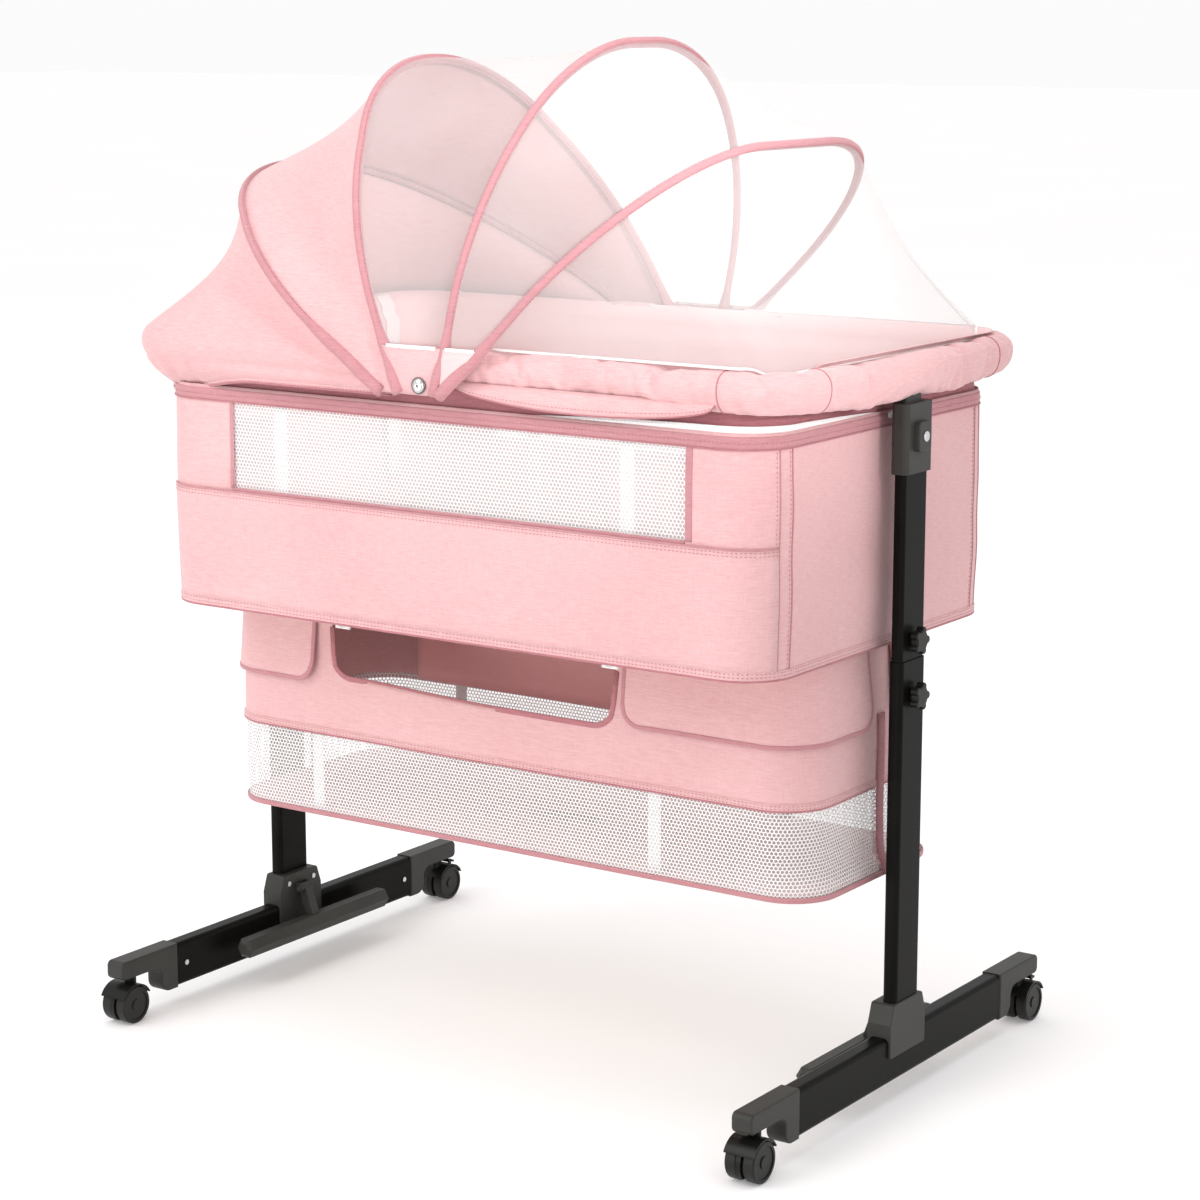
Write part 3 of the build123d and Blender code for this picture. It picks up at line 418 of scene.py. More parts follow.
class Nodes:
    """Short names for building one material."""

    def __init__(self, name):
        self.material = bpy.data.materials.new(name)
        self.material.use_nodes = True
        self.tree = self.material.node_tree
        self.shader = self.tree.nodes["Principled BSDF"]
        self.place = self.tree.nodes.new("ShaderNodeTexCoord").outputs["Object"]

    def add(self, kind, **settings):
        node = self.tree.nodes.new(kind)
        for key, value in settings.items():
            setattr(node, key, value)
        return node

    def link(self, source, target):
        if isinstance(source, (int, float, tuple)):
            target.default_value = source
        else:
            self.tree.links.new(source, target)

    def math(self, operation, a, b=0.0, clamp=False):
        node = self.add("ShaderNodeMath", operation=operation, use_clamp=clamp)
        self.link(a, node.inputs[0])
        self.link(b, node.inputs[1])
        return node.outputs[0]

    def vector(self, operation, a, b=(0.0, 0.0, 0.0), c=(0.0, 0.0, 0.0)):
        node = self.add("ShaderNodeVectorMath", operation=operation)
        for value, socket in zip((a, b, c), node.inputs):
            self.link(value, socket)
        return node.outputs["Value" if operation in ("DOT_PRODUCT", "LENGTH") else "Vector"]

    def noise(self, scale, detail=2.0, stretch=(1.0, 1.0, 1.0), rough=0.5):
        node = self.add("ShaderNodeTexNoise")
        self.link(self.vector("MULTIPLY", self.place, stretch), node.inputs["Vector"])
        node.inputs["Scale"].default_value = scale
        node.inputs["Detail"].default_value = detail
        node.inputs["Roughness"].default_value = rough
        return node.outputs["Fac"]

    def ramp(self, value, *stops):
        node = self.add("ShaderNodeValToRGB")
        self.link(value, node.inputs["Fac"])
        elements = node.color_ramp.elements
        while len(elements) < len(stops):
            elements.new(0.5)
        for element, (position, colour) in zip(elements, stops):
            element.position = position
            element.color = (*colour, 1.0)
        return node.outputs["Color"]

    def colour(self, value, *stops):
        self.link(self.ramp(value, *stops), self.shader.inputs["Base Color"])

    def scaled(self, value, factor, offset):
        return self.math("ADD", self.math("MULTIPLY", value, factor), offset)

    def bump(self, height, distance, strength=1.0):
        node = self.add("ShaderNodeBump")
        node.inputs["Distance"].default_value = distance
        node.inputs["Strength"].default_value = strength
        self.link(height, node.inputs["Height"])
        self.tree.links.new(node.outputs["Normal"], self.shader.inputs["Normal"])


def set_inputs(shader, **values):
    for key, value in values.items():
        shader.inputs[key.replace("_", " ")].default_value = value


def scaled_colour(colour, factor):
    return tuple(factor * c for c in colour)


def linen(name, light, dark, streak=1.0, sheen=0.25):
    """Heathered plain-weave polyester: pale and deep threads in both directions."""
    n = Nodes(name)
    across = n.noise(66.0, 3.0, (1.0, 1.0, 15.0), 0.65)
    upward = n.noise(66.0, 3.0, (15.0, 15.0, 1.0), 0.65)
    threads = n.math("ADD", n.math("MULTIPLY", across, 0.68), n.math("MULTIPLY", upward, 0.32))
    cloudy = n.math("SUBTRACT", n.noise(5.0, 2.0), 0.5)
    tone = n.math("ADD", threads, n.math("MULTIPLY", cloudy, 0.25))
    spread = 0.19 / streak
    n.colour(tone, (0.5 - spread, dark), (0.5 + spread, light))
    weave = n.noise(900.0, 1.0)
    n.bump(n.math("ADD", n.math("MULTIPLY", threads, 0.6), n.math("MULTIPLY", weave, 0.4)), 0.0006)
    n.link(n.scaled(threads, 0.2, 0.72), n.shader.inputs["Roughness"])
    set_inputs(n.shader, Sheen_Weight=sheen, Sheen_Roughness=0.5, Specular_IOR_Level=0.2)
    return n.material


def hex_net(name, pitch, thread, colour, back):
    """White knitted net with six-sided holes; back is how solid a hole still looks."""
    n = Nodes(name)
    uv = n.add("ShaderNodeUVMap", uv_map="cloth").outputs["UV"]
    half = (0.5, math.sqrt(3.0) / 2, 0.5)
    low = tuple(-h for h in half)
    slanted, flat = (half[0], half[1], 0.0), (1.0, 1.0, 0.0)
    cells = n.vector("SCALE", uv)
    cells.node.inputs["Scale"].default_value = 1.0 / pitch
    first = n.vector("WRAP", cells, half, low)
    second = n.vector("WRAP", n.vector("SUBTRACT", cells, slanted), half, low)
    first, second = n.vector("MULTIPLY", first, flat), n.vector("MULTIPLY", second, flat)
    choose = n.add("ShaderNodeMix", data_type="VECTOR")
    nearer = n.math("LESS_THAN", n.vector("LENGTH", second), n.vector("LENGTH", first))
    n.link(nearer, choose.inputs["Factor"])
    n.link(first, choose.inputs[4])
    n.link(second, choose.inputs[5])
    cell = n.vector("ABSOLUTE", choose.outputs[1])
    slant = n.vector("DOT_PRODUCT", cell, slanted)
    straight = n.vector("DOT_PRODUCT", cell, (1.0, 0.0, 0.0))
    to_edge = n.math("SUBTRACT", 0.5, n.math("MAXIMUM", slant, straight))
    strand = n.math("SUBTRACT", 1.0, n.math("DIVIDE", to_edge, thread / pitch), clamp=True)
    strand = n.math("MULTIPLY", strand, 3.0, clamp=True)
    n.link(n.scaled(strand, 0.92 - back, back), n.shader.inputs["Alpha"])
    n.colour(n.noise(700.0, 2.0), (0.3, scaled_colour(colour, 0.9)), (0.7, colour))
    n.bump(strand, 0.0004)
    set_inputs(n.shader, Roughness=0.7, Sheen_Weight=0.2, Specular_IOR_Level=0.2)
    return n.material


def sheer_net(name, colour, open_share, thread_share):
    """Very fine insect net: too fine to see its holes, so a faint even veil."""
    n = Nodes(name)
    fine = n.noise(1500.0, 1.0)
    folds = n.math("SUBTRACT", n.noise(9.0, 2.0), 0.5)
    veil = n.scaled(fine, thread_share, open_share)
    veil = n.math("ADD", veil, n.math("MULTIPLY", folds, 0.06))
    n.link(veil, n.shader.inputs["Alpha"])
    n.colour(fine, (0.35, scaled_colour(colour, 0.93)), (0.65, colour))
    n.bump(fine, 0.0002)
    set_inputs(n.shader, Roughness=0.8, Specular_IOR_Level=0.1)
    return n.material


def webbing(name, light, dark):
    """Flat woven tape with a rib across it."""
    n = Nodes(name)
    ribs = n.noise(260.0, 1.0, (1.0, 1.0, 5.0))
    n.colour(ribs, (0.35, dark), (0.65, light))
    n.bump(ribs, 0.0004)
    set_inputs(n.shader, Roughness=0.75, Sheen_Weight=0.2, Specular_IOR_Level=0.25)
    return n.material


def painted_steel(name, colour, gloss):
    """Semi-gloss powder coat with orange peel and faint handling marks."""
    n = Nodes(name)
    peel = n.noise(420.0, 2.0)
    worn = n.noise(14.0, 4.0, rough=0.7)
    n.colour(worn, (0.35, colour), (0.75, tuple(1.5 * c + 0.002 for c in colour)))
    n.link(n.scaled(worn, 0.16, 0.26), n.shader.inputs["Roughness"])
    n.bump(peel, 0.00012)
    set_inputs(n.shader, Specular_IOR_Level=gloss)
    return n.material


def moulded(name, colour, rough, grain, gloss=0.25):
    """Injection-moulded plastic with a spark-eroded grain."""
    n = Nodes(name)
    texture = n.noise(1100.0, 2.0)
    tone = n.noise(18.0, 3.0)
    n.colour(tone, (0.3, scaled_colour(colour, 0.85)), (0.7, scaled_colour(colour, 1.15)))
    n.link(n.scaled(tone, 0.1, rough - 0.05), n.shader.inputs["Roughness"])
    n.bump(texture, grain)
    set_inputs(n.shader, Specular_IOR_Level=gloss)
    return n.material


def bright_metal(name, colour, rough):
    """Bare metal with a faint brushed grain."""
    n = Nodes(name)
    brushed = n.noise(300.0, 2.0, (1.0, 1.0, 0.1))
    n.colour(brushed, (0.3, scaled_colour(colour, 0.85)), (0.7, colour))
    n.link(n.scaled(brushed, 0.12, rough), n.shader.inputs["Roughness"])
    n.bump(brushed, 0.00005)
    set_inputs(n.shader, Metallic=1.0)
    return n.material


def board_material(name):
    """Raw fibreboard."""
    n = Nodes(name)
    fibres = n.noise(90.0, 4.0, (1.0, 3.0, 3.0), 0.65)
    n.colour(fibres, (0.3, (0.42, 0.3, 0.21)), (0.7, (0.62, 0.5, 0.38)))
    n.bump(fibres, 0.0004)
    set_inputs(n.shader, Roughness=0.7)
    return n.material


def floor_material(name):
    """Pale studio floor that glows a little, so that it stays as light as the background."""
    n = Nodes(name)
    n.colour(n.noise(0.8, 2.0), (0.3, (0.86, 0.845, 0.845)), (0.7, (0.875, 0.865, 0.865)))
    set_inputs(n.shader, Roughness=0.9, Specular_IOR_Level=0.1)
    set_inputs(n.shader, Emission_Color=(1, 0.985, 0.985, 1), Emission_Strength=0.16)
    return n.material


PINK_LIGHT, PINK_DARK = (0.745, 0.475, 0.48), (0.635, 0.335, 0.343)
ROSE_LIGHT, ROSE_DARK = (0.50, 0.215, 0.235), (0.36, 0.13, 0.15)

PINK = linen("pink_linen", PINK_LIGHT, PINK_DARK)
# Lighter copy of the pink linen for inner sides: painted light where the inside of the tub and basket lies in
# shade.
LIT_PINK_LINER = linen("lit_pink_liner", (0.88, 0.62, 0.62), (0.80, 0.50, 0.505), 0.7)
# Still lighter pink for the lining behind the basket's slot: painted light in the shaded slot.
LIT_BASKET_PINK = linen("lit_basket_liner", (1.0, 0.56, 0.57), (0.92, 0.46, 0.47), 0.8)
ROSE = linen("rose_binding", ROSE_LIGHT, ROSE_DARK)
MAUVE = linen("mauve_binding", (0.55, 0.27, 0.29), (0.43, 0.185, 0.205))
THREAD = webbing("rose_thread", (0.52, 0.21, 0.235), (0.42, 0.15, 0.17))
WHITE_TAPE = webbing("white_tape", (0.9, 0.89, 0.885), (0.8, 0.78, 0.78))
WINDOW_NET = hex_net("hex_window_net", 0.0050, 0.00085, (0.96, 0.95, 0.945), 0.40)
CANOPY_NET = sheer_net("sheer_canopy_net", (0.95, 0.94, 0.93), 0.12, 0.12)
BASKET_NET = hex_net("hex_basket_net", 0.0050, 0.00085, (0.95, 0.94, 0.935), 0.22)
PALE = linen("pale_gusset", (0.76, 0.55, 0.545), (0.70, 0.48, 0.48), 0.6, 0.25)
MATTRESS_COVER = linen("mattress_cover", (0.9, 0.62, 0.64), (0.82, 0.5, 0.52), 0.7)
NYLON = moulded("white_nylon", (0.82, 0.81, 0.81), 0.42, 0.00005)
DARK_METAL = bright_metal("dark_rim", (0.2, 0.19, 0.19), 0.3)

FINISHES = {
    "black_steel": painted_steel("black_powder_coat", (0.0030, 0.0028, 0.0023), 0.07),
    "charcoal_plastic": moulded("charcoal_nylon", (0.035, 0.0345, 0.031), 0.46, 0.00006),
    "black_plastic": moulded("black_nylon", (0.007, 0.0068, 0.006), 0.36, 0.00005),
    "bright_metal": bright_metal("zinc_steel", (0.66, 0.66, 0.67), 0.22),
    "caster_plastic": moulded("caster_nylon", (0.008, 0.008, 0.007), 0.28, 0.00003, 0.18),
    "wheel_tread": moulded("caster_tread", (0.011, 0.011, 0.010), 0.4, 0.00008),
    "rail_steel": painted_steel("grey_coat", (0.4, 0.4, 0.41), 0.4),
    "hub_metal": bright_metal("bright_snap_cap", (0.78, 0.77, 0.76), 0.16),
    "zip_nylon": NYLON,
    "pink_fabric": PINK,
    "window_net": WINDOW_NET,
    "canopy_net": CANOPY_NET,
    "mattress_cover": MATTRESS_COVER,
    "board": board_material("fibreboard"),
}


def finish_cad_nodes():
    """Every CAD node takes the finish of its slot in the record."""
    for part in frame["record"]["subparts"]:
        mesh = frame["nodes"][part["node"]].data
        mesh.materials.clear()
        mesh.materials.append(FINISHES[part["material_slot"]])


# ============================ canopy =========================================


def rounded_line(points, radii, step=0.004):
    """A flat line through points, its inner corners rounded by the given radii."""
    points = [np.asarray(p, float) for p in points]
    out = [points[0]]
    for before, corner, after, radius in zip(points, points[1:], points[2:], radii):
        a, b = unit(before - corner), unit(after - corner)
        half = math.acos(float(a @ b)) / 2
        centre = corner + unit(a + b) * radius / math.sin(half)
        spoke = corner + a * radius / math.tan(half) - centre
        turn = math.pi - 2 * half
        count = math.ceil(radius * turn / step)
        for k in range(count + 1):
            t = turn * k / count
            out.append(centre + spoke * math.cos(t) - a * radius * math.sin(t))
    return np.array(out + [points[-1]])


def arch_outline(high, wide, square):
    """Half a rounded frame, (sideways, up): the wire's shape in its own plane."""
    reach = 2 * 2 ** (-1 / square) - 1
    slope = (1 - reach) * math.hypot(wide, high)
    top_tangent = 0.97 * min(reach * wide, slope / 2)
    side_tangent = 0.97 * min(reach * high, slope - top_tangent)
    side_turn = math.atan(wide / high)
    side_radius = side_tangent / math.tan(side_turn / 2)
    top_radius = top_tangent / math.tan((math.pi / 2 - side_turn) / 2)
    corners = [
        (-wide, 0),
        (-wide, reach * high),
        (-reach * wide, high),
        (reach * wide, high),
        (wide, reach * high),
        (wide, 0),
    ]
    return rounded_line(corners, [side_radius, top_radius, top_radius, side_radius])


class Arch:
    """One canopy wire, with its legs carried on down to the canopy's lower hem."""

    def __init__(self, letter):
        low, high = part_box(f"canopy_hoop_{letter}")
        self.body = f"hoop_{letter}"
        self.x = HOOPS[letter]["x"]
        back = abs(low.x - self.x) > abs(high.x - self.x)
        tip_x = low.x + WIRE if back else high.x - WIRE
        self.tip = Vector((tip_x, 0, high.z - WIRE))
        rise = self.tip.z - HOOP_BASE_Z
        self.lean = math.atan2(rise, tip_x - self.x)
        self.high = math.hypot(rise, tip_x - self.x)
        wire = arch_outline(self.high, HOOP_HALF_WIDTH, HOOPS[letter]["square"])
        self.drop = (HOOP_BASE_Z - CANOPY_HEM_Z) / math.sin(self.lean)
        leg = [(-SKIRT_Y, -self.drop), (-SKIRT_Y + 0.0008, -0.6 * self.drop)]
        other = [(-side, up) for side, up in reversed(leg)]
        self.outline = np.array([*leg, *wire, *other])

    def place(self, side_up):
        side_up = np.asarray(side_up, float)
        side, up = side_up[..., 0], side_up[..., 1]
        x = self.x + up * math.cos(self.lean)
        z = HOOP_BASE_Z + up * math.sin(self.lean)
        return np.stack([x, side, z], -1)

    def path(self, count=ARCH_POINTS, from_z=None):
        """Points along the arch, from the front to the rear, above a height if given."""
        line = resampled(self.outline, 4 * ARCH_POINTS)
        if from_z is not None:
            line = line[line[:, 1] >= (from_z - HOOP_BASE_Z) / math.sin(self.lean)]
        return self.place(resampled(line, count))

    def away(self):
        """The direction across the arch's plane, towards the foot end."""
        return np.array((math.sin(self.lean), 0.0, -math.cos(self.lean)))


ARCHES = {letter: Arch(letter) for letter in HOOPS}


def pulled_in(points, share, depth):
    """Moves one row of a tensioned panel towards the inside of the canopy."""
    inside = np.array((HUB.x, 0.0, HOOP_BASE_Z))
    count = len(points)
    moved = []
    for k, p in enumerate(points):
        s = k / (count - 1)
        edge = smooth_step(0.06, 0.22, min(s, 1 - s))
        fall = depth * math.sin(math.pi * share) * edge
        crease = 0.0012 * ripple(*p, scale=9.0) * math.sin(math.pi * share) * edge
        moved.append(p + (fall + crease) * unit(inside - p))
    return moved


def between_arches(name, first, second, depth, material, rows=15):
    """Cloth stretched between two arches, curving inwards as taut cloth does."""
    shares = np.linspace(0, 1, rows)
    points = [pulled_in((1 - t) * first + t * second, t, depth) for t in shares]
    return lattice(name, points, material, thick=0.0006)


def fold_between(obj):
    """Bakes the piece's placement into its mesh."""
    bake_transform(obj)


def wrap_angles(arch_point, centre, outward, radius, last):
    """Where cloth from the arch first touches the padded rail, as an angle from out."""
    away = arch_point - centre
    out, up = float(away @ outward), float(away[2])
    distance = max(math.hypot(out, up), radius * 1.001)
    touch = math.atan2(up, out) - math.acos(radius / distance)
    return max(touch, last + math.radians(4))


def on_rail(centre, out, radius, turn):
    return centre + radius * (math.cos(turn) * out + np.array((0, 0, math.sin(turn))))


def head_shade():
    """Opaque hood from the rearmost arch, over the padded rail and gathered under it."""
    rail = Ring(RAIL_X, RAIL_Y, RAIL_CORNER)
    arch = ARCHES["a"]
    start = arch.place((0, -arch.drop))[0]
    end = -(rail.length / 2 + start)
    shares = [k / (ARCH_POINTS - 1) for k in range(ARCH_POINTS)]
    along = [start + (end - start) * share for share in shares]
    columns = [hood_column(rail, d, s, tip) for d, s, tip in zip(along, shares, arch.path())]
    grid = np.array(columns).transpose(1, 0, 2)
    shade = lattice("canopy_head_hood", grid, PINK, thick=0.0008)
    return shade, grid[-1], np.array([rail.normal(d) for d in along])


def hood_column(rail, d, share, tip):
    """One line down the hood: taut from the arch, round the padded rail, loose below it."""
    out = rail.normal(d)
    centre = rail.point(d, 0.0, RAIL_Z)
    radius = PAD + 0.0035
    last = math.radians(-38)
    first = wrap_angles(tip, centre, out, radius, last)
    touch = on_rail(centre, out, radius, first)
    inside = np.array((HUB.x, 0.0, HOOP_BASE_Z))
    edge = smooth_step(0.02, 0.2, min(share, 1 - share))
    column = []
    for r in range(HOOD_TAUT):
        t = r / (HOOD_TAUT - 1)
        p = (1 - t) * tip + t * touch
        hollow = 0.026 * (1 - 0.35 * t) + 0.0016 * ripple(*p, scale=8.0)
        column.append(p + hollow * edge * math.sin(math.pi * t) * unit(inside - p))
    for r in range(HOOD_WRAP):
        turn = first + (last - first) * (r + 1) / HOOD_WRAP
        column.append(on_rail(centre, out, radius, turn))
    leaving = column[-1]
    past_corner = min(-d, rail.length / 2 + d) - (RAIL_X - RAIL_CORNER)
    round_end = smooth_step(-0.14, 0.02, past_corner)
    hem = centre + (0.0165 - 0.0305 * round_end) * out - (0.033 + 0.020 * round_end) * UP
    gather = math.sin(2 * math.pi * d / 0.030 + 5 * ripple(d, 0, 0, scale=5.0))
    for r in range(HOOD_DROP):
        t = (r + 1) / HOOD_DROP
        swell = 0.004 * math.sin(math.pi * t)
        swell += 0.0030 * round_end * gather * math.sin(math.pi * min(1.0, 0.25 + 0.65 * t))
        column.append((1 - t) * leaving + t * hem + swell * out)
    return column


def sleeve(letter):
    """Rose sleeve sewn round one wire, with a flat seam allowance on its inner side."""
    arch = ARCHES[letter]
    path = arch.path(181)
    inwards = unit(np.array((arch.x, 0.0, HOOP_BASE_Z)) - path)
    feet = [1 + FOOT_SWELL * (1 - smooth_step(0.875, 0.91, p[2])) for p in path]
    body = sweep(
        f"canopy_sleeve_{letter}", path, inwards, round_section(SLEEVE, 14), MAUVE, swell=feet
    )
    tape = sweep(
        f"canopy_sleeve_tape_{letter}",
        path + SLEEVE_SEAM * inwards,
        inwards,
        tape_section(0.0065, 0.0016, 8),
        ROSE,
    )
    rows = []
    for side in (-1, 1):
        line = path + side * (SLEEVE + 0.0002) * arch.away() - 0.001 * inwards
        rows.append((line, side * arch.away(), 0.0004, False))
    thread = stitches(f"canopy_sleeve_stitches_{letter}", rows, THREAD)
    for obj in (body, tape, thread):
        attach(obj, arch.body)


def canopy():
    """The hood, the three panels between wires, the gussets, the foot veil and the trim."""
    head_hood()
    canopy_panel(
        "canopy_front_hood", "canopy_front_shade", "ab", None, 0.016, "pink_fabric", (1.02, 0.33)
    )
    for name, pair, size in (("middle", "bc", (1.0, 0.36)), ("front", "cd", (1.05, 0.34))):
        canopy_panel(
            f"canopy_{name}_veil", f"canopy_{name}_net", pair, NET_LOW_Z, 0.009, "canopy_net", size
        )
    gussets = [gusset(*pair, side) for pair in ("bc", "cd") for side in (-1, 1)]
    foot_veil()
    for letter in HOOPS:
        sleeve(letter)
    hub_trim()
    for panel, edge, pair in gussets:
        wires = [f"canopy_hoop_{k}" for k in pair]
        cloth_sheet(panel, 0.085, 0.06, "stretched", wires, [edge])


def head_hood():
    """The opaque hood with its hem, between the rail and the first wire."""
    hood, hem, hem_out = head_shade()
    tape = sweep("canopy_hood_hem", hem, hem_out, tape_section(0.0026, 0.008), PINK)
    under = hem + 0.0010 * hem_out - 0.0040 * UP
    edge = sweep("canopy_hood_edge", under, hem_out, round_section(0.0013, 8), ROSE)
    rows = [(hem + 0.0014 * hem_out + z * UP, hem_out, 0.0005, False) for z in (0.0028, -0.0018)]
    thread = stitches("canopy_hood_stitches", rows, THREAD)
    for obj in (hood, tape, edge, thread):
        fold_between(obj)
    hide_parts("canopy_head_shade")
    trims = [tape, edge, thread]
    cloth_sheet(hood, 1.28, 0.42, "stretched", ["canopy_hoop_a", "rail_cover"], trims)


def canopy_panel(name, node, pair, from_z, hollow, slot, size):
    """One panel stretched between a pair of wires; it stands for a node of the frame."""
    one, two = (ARCHES[k] for k in pair)
    paths = [arch.path(from_z=from_z) for arch in (one, two)]
    panel = between_arches(name, *paths, hollow, FINISHES[slot])
    fold_between(panel)
    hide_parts(node)
    cloth_sheet(panel, *size, "stretched", [f"canopy_hoop_{k}" for k in pair])


def gusset(first, second, side):
    """Cloth triangle between the feet of two arches, with the white tape on its top."""
    arches = [ARCHES[first], ARCHES[second]]
    legs = []
    for arch in arches:
        rise = (NET_LOW_Z - HOOP_BASE_Z) / math.sin(arch.lean)
        ups = np.linspace(-arch.drop, rise, 6)
        legs.append(arch.place([(side * (SKIRT_Y - 0.0001 * k), up) for k, up in enumerate(ups)]))
    cells = [
        [(1 - t) * legs[0][k] + t * legs[1][k] + (0, side * 0.002 * math.sin(math.pi * t), 0)
         for t in np.linspace(0, 1, 11)]
        for k in range(6)
    ]
    name = f"{first}{second}_" + ("front" if side < 0 else "rear")
    cloth = PINK if first == "b" else PALE
    panel = lattice(f"canopy_gusset_{name}", cells, cloth)
    top = np.array(cells[-1][1:-1])
    tape = sweep(
        f"canopy_gusset_tape_{name}", top, (0, side, 0), tape_section(0.0022, 0.0042), WHITE_TAPE
    )
    for obj in (panel, tape):
        fold_between(obj)
    return panel, tape, first + second


def foot_veil():
    """Sheer net from the last arch down to a white tape along the foot of the rail."""
    rail = Ring(RAIL_X, RAIL_Y, RAIL_CORNER)
    arch = ARCHES["d"]
    radius = PAD + 0.001

    def attached(d):
        lean = math.radians(84 + 56 * smooth_step(0.05, 0.6, rail.at(d)[2]))
        return rail.point(d, radius * math.cos(lean), RAIL_Z + radius * math.sin(lean))

    start = arch.x + 0.012
    end = rail.length / 2 - start
    share = np.linspace(0, 1, ARCH_POINTS)
    along = [start + (end - start) * s for s in share]
    top = arch.path(from_z=NET_LOW_Z)
    low = np.array([attached(d) for d in along])
    inside = np.array((HUB.x, 0.0, HOOP_BASE_Z))
    cells = []
    for t in np.linspace(0, 1, 19):
        line = []
        for s, high_end, low_end in zip(share, top, low):
            edge = smooth_step(0.0, 0.2, min(s, 1 - s))
            p = (1 - t) * high_end + t * low_end
            line.append(p + 0.014 * edge * math.sin(math.pi * t) * unit(inside - p))
        cells.append(line)
    veil = lattice("canopy_foot_veil", cells, CANOPY_NET, thick=0.0006)
    out = np.array([rail.normal(d) for d in along]) + 3.0 * UP
    piping = sweep("canopy_net_tape", low, out, tape_section(0.0022, 0.0042), WHITE_TAPE)
    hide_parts("canopy_foot_net")
    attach(veil, arch.body)
    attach(piping, "bed")
    tuple(arch.away())
    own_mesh(veil)
    cloth_sheet(veil, 1.3, 0.36, "stretched", ["canopy_hoop_d", "rail_cover"], [piping])


def hub_trim():
    """A dark rim and a domed face on each pivot cap."""
    low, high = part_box("canopy_hubs")
    turn = np.linspace(0, 2 * math.pi, 41)[:-1]
    out = np.stack([np.cos(turn), 0 * turn, np.sin(turn)], 1)
    dome_steps = ((0.0066, 0.0), (0.0060, 0.0007), (0.0048, 0.0012), (0.003, 0.0015), (0.0012, 0.0016))
    for name, side, face in (("front", -1, low.y), ("rear", 1, high.y)):
        centre = np.array((HUB.x, face, HUB.z))
        ring = centre + HUB_RIM * out - np.array((0, side * 0.0012, 0))
        rim = sweep(f"hub_rim_{name}", ring, out, round_section(0.0014, 10), DARK_METAL, closed=True)
        rows = [centre + radius * out + np.array((0, side * rise, 0)) for radius, rise in dome_steps]
        dome = lattice(f"hub_dome_{name}", rows, FINISHES["hub_metal"], closed=True, thick=0.0006)
        on_bed("hub_metal", rim, dome)


# ============================ padded pieces ==================================


def evaluated_mesh(obj):
    graph = bpy.context.evaluated_depsgraph_get()
    graph.update()
    return bpy.data.meshes.new_from_object(obj.evaluated_get(graph))


def inflate(obj, voxel, cap, slack=0.0, pressure=4.0, pinned=None):
    """Remeshes a closed pad and swells it as cloth; no point moves more than cap."""
    material = obj.data.materials[0]
    remesh = obj.modifiers.new("even_mesh", "REMESH")
    remesh.mode = "VOXEL"
    remesh.voxel_size = voxel
    mesh = evaluated_mesh(obj)
    obj.modifiers.clear()
    obj.data = mesh
    rest = np.array([v.co for v in mesh.vertices])
    cloth = obj.modifiers.new("swell", "CLOTH")
    cloth.settings.use_pressure = True
    cloth.settings.uniform_pressure_force = pressure
    cloth.settings.effector_weights.gravity = 0.0
    cloth.settings.quality = 6
    cloth.settings.shrink_min = -slack
    if pinned is not None:
        group = obj.vertex_groups.new(name="sewn")
        group.add([i for i, p in enumerate(rest) if pinned(p)], 1.0, "REPLACE")
        cloth.settings.vertex_group_mass = "sewn"
    cloth.point_cache.frame_start, cloth.point_cache.frame_end = 1, 20
    for step in range(1, 21):
        bpy.context.scene.frame_set(step)
    swollen = evaluated_mesh(obj)
    moved = np.array([v.co for v in swollen.vertices]) - rest
    far = np.linalg.norm(moved, axis=1, keepdims=True)
    rest = rest + moved * np.minimum(1.0, cap / np.maximum(far, 1e-9))
    obj.modifiers.clear()
    obj.vertex_groups.clear()
    bpy.context.scene.frame_set(1)
    mesh.vertices.foreach_set("co", rest.astype(np.float32).ravel())
    mesh.materials.clear()
    mesh.materials.append(material)
    mesh.polygons.foreach_set("use_smooth", [True] * len(mesh.polygons))
    mesh.update()
    smooth = obj.modifiers.new("smooth", "SUBSURF")
    smooth.levels = smooth.render_levels = 1


def rail_sag(x, y):
    """How much lower the rail cover's bottom hangs, most of it at the foot end."""
    corner = smooth_step(0.24, RAIL_X - 0.03, x)
    return 0.008 * corner + 0.009 * smooth_step(RAIL_Y, 0.05, abs(y)) * corner


def hang_down(cover):
    """Stretches the lower half of the rail cover downwards by its sag."""
    for vertex in cover.data.vertices:
        low = RAIL_Z - vertex.co.z
        if low > 0:
            vertex.co.z -= low / PAD * rail_sag(vertex.co.x, vertex.co.y)


def seam_spots(rail):
    """The rail's centre and its direction at both ends of every corner."""
    corner_start = RAIL_X - RAIL_CORNER
    marks = (corner_start - 0.012, corner_start + rail.quarter + 0.012)
    places = [sign * m for m in marks for sign in (1, -1)]
    places += [rail.length / 2 - m for m in marks] + [rail.length / 2 + m for m in marks]
    spots = []
    for d in places:
        out_x, out_y = rail.at(d)[2:]
        spots.append((rail.point(d, 0, RAIL_Z), np.array((-out_y, out_x, 0.0))))
    return spots


def seam_round(surface, centre, tangent):
    """A thread round the padded rail, lying on the cover's surface."""
    side = np.cross(tangent, UP)
    turn = np.linspace(0, 2 * math.pi, 49)[:-1]
    around = np.array([math.cos(t) * side + math.sin(t) * UP for t in turn])
    hits = [surface.ray_cast(Vector(centre), Vector(way), 0.08)[0] for way in around]
    ring = np.array([hit or centre + PAD * way for hit, way in zip(hits, around)])
    return sweep("seam", ring + 0.0002 * around, around, round_section(0.0008, 6), THREAD, closed=True)


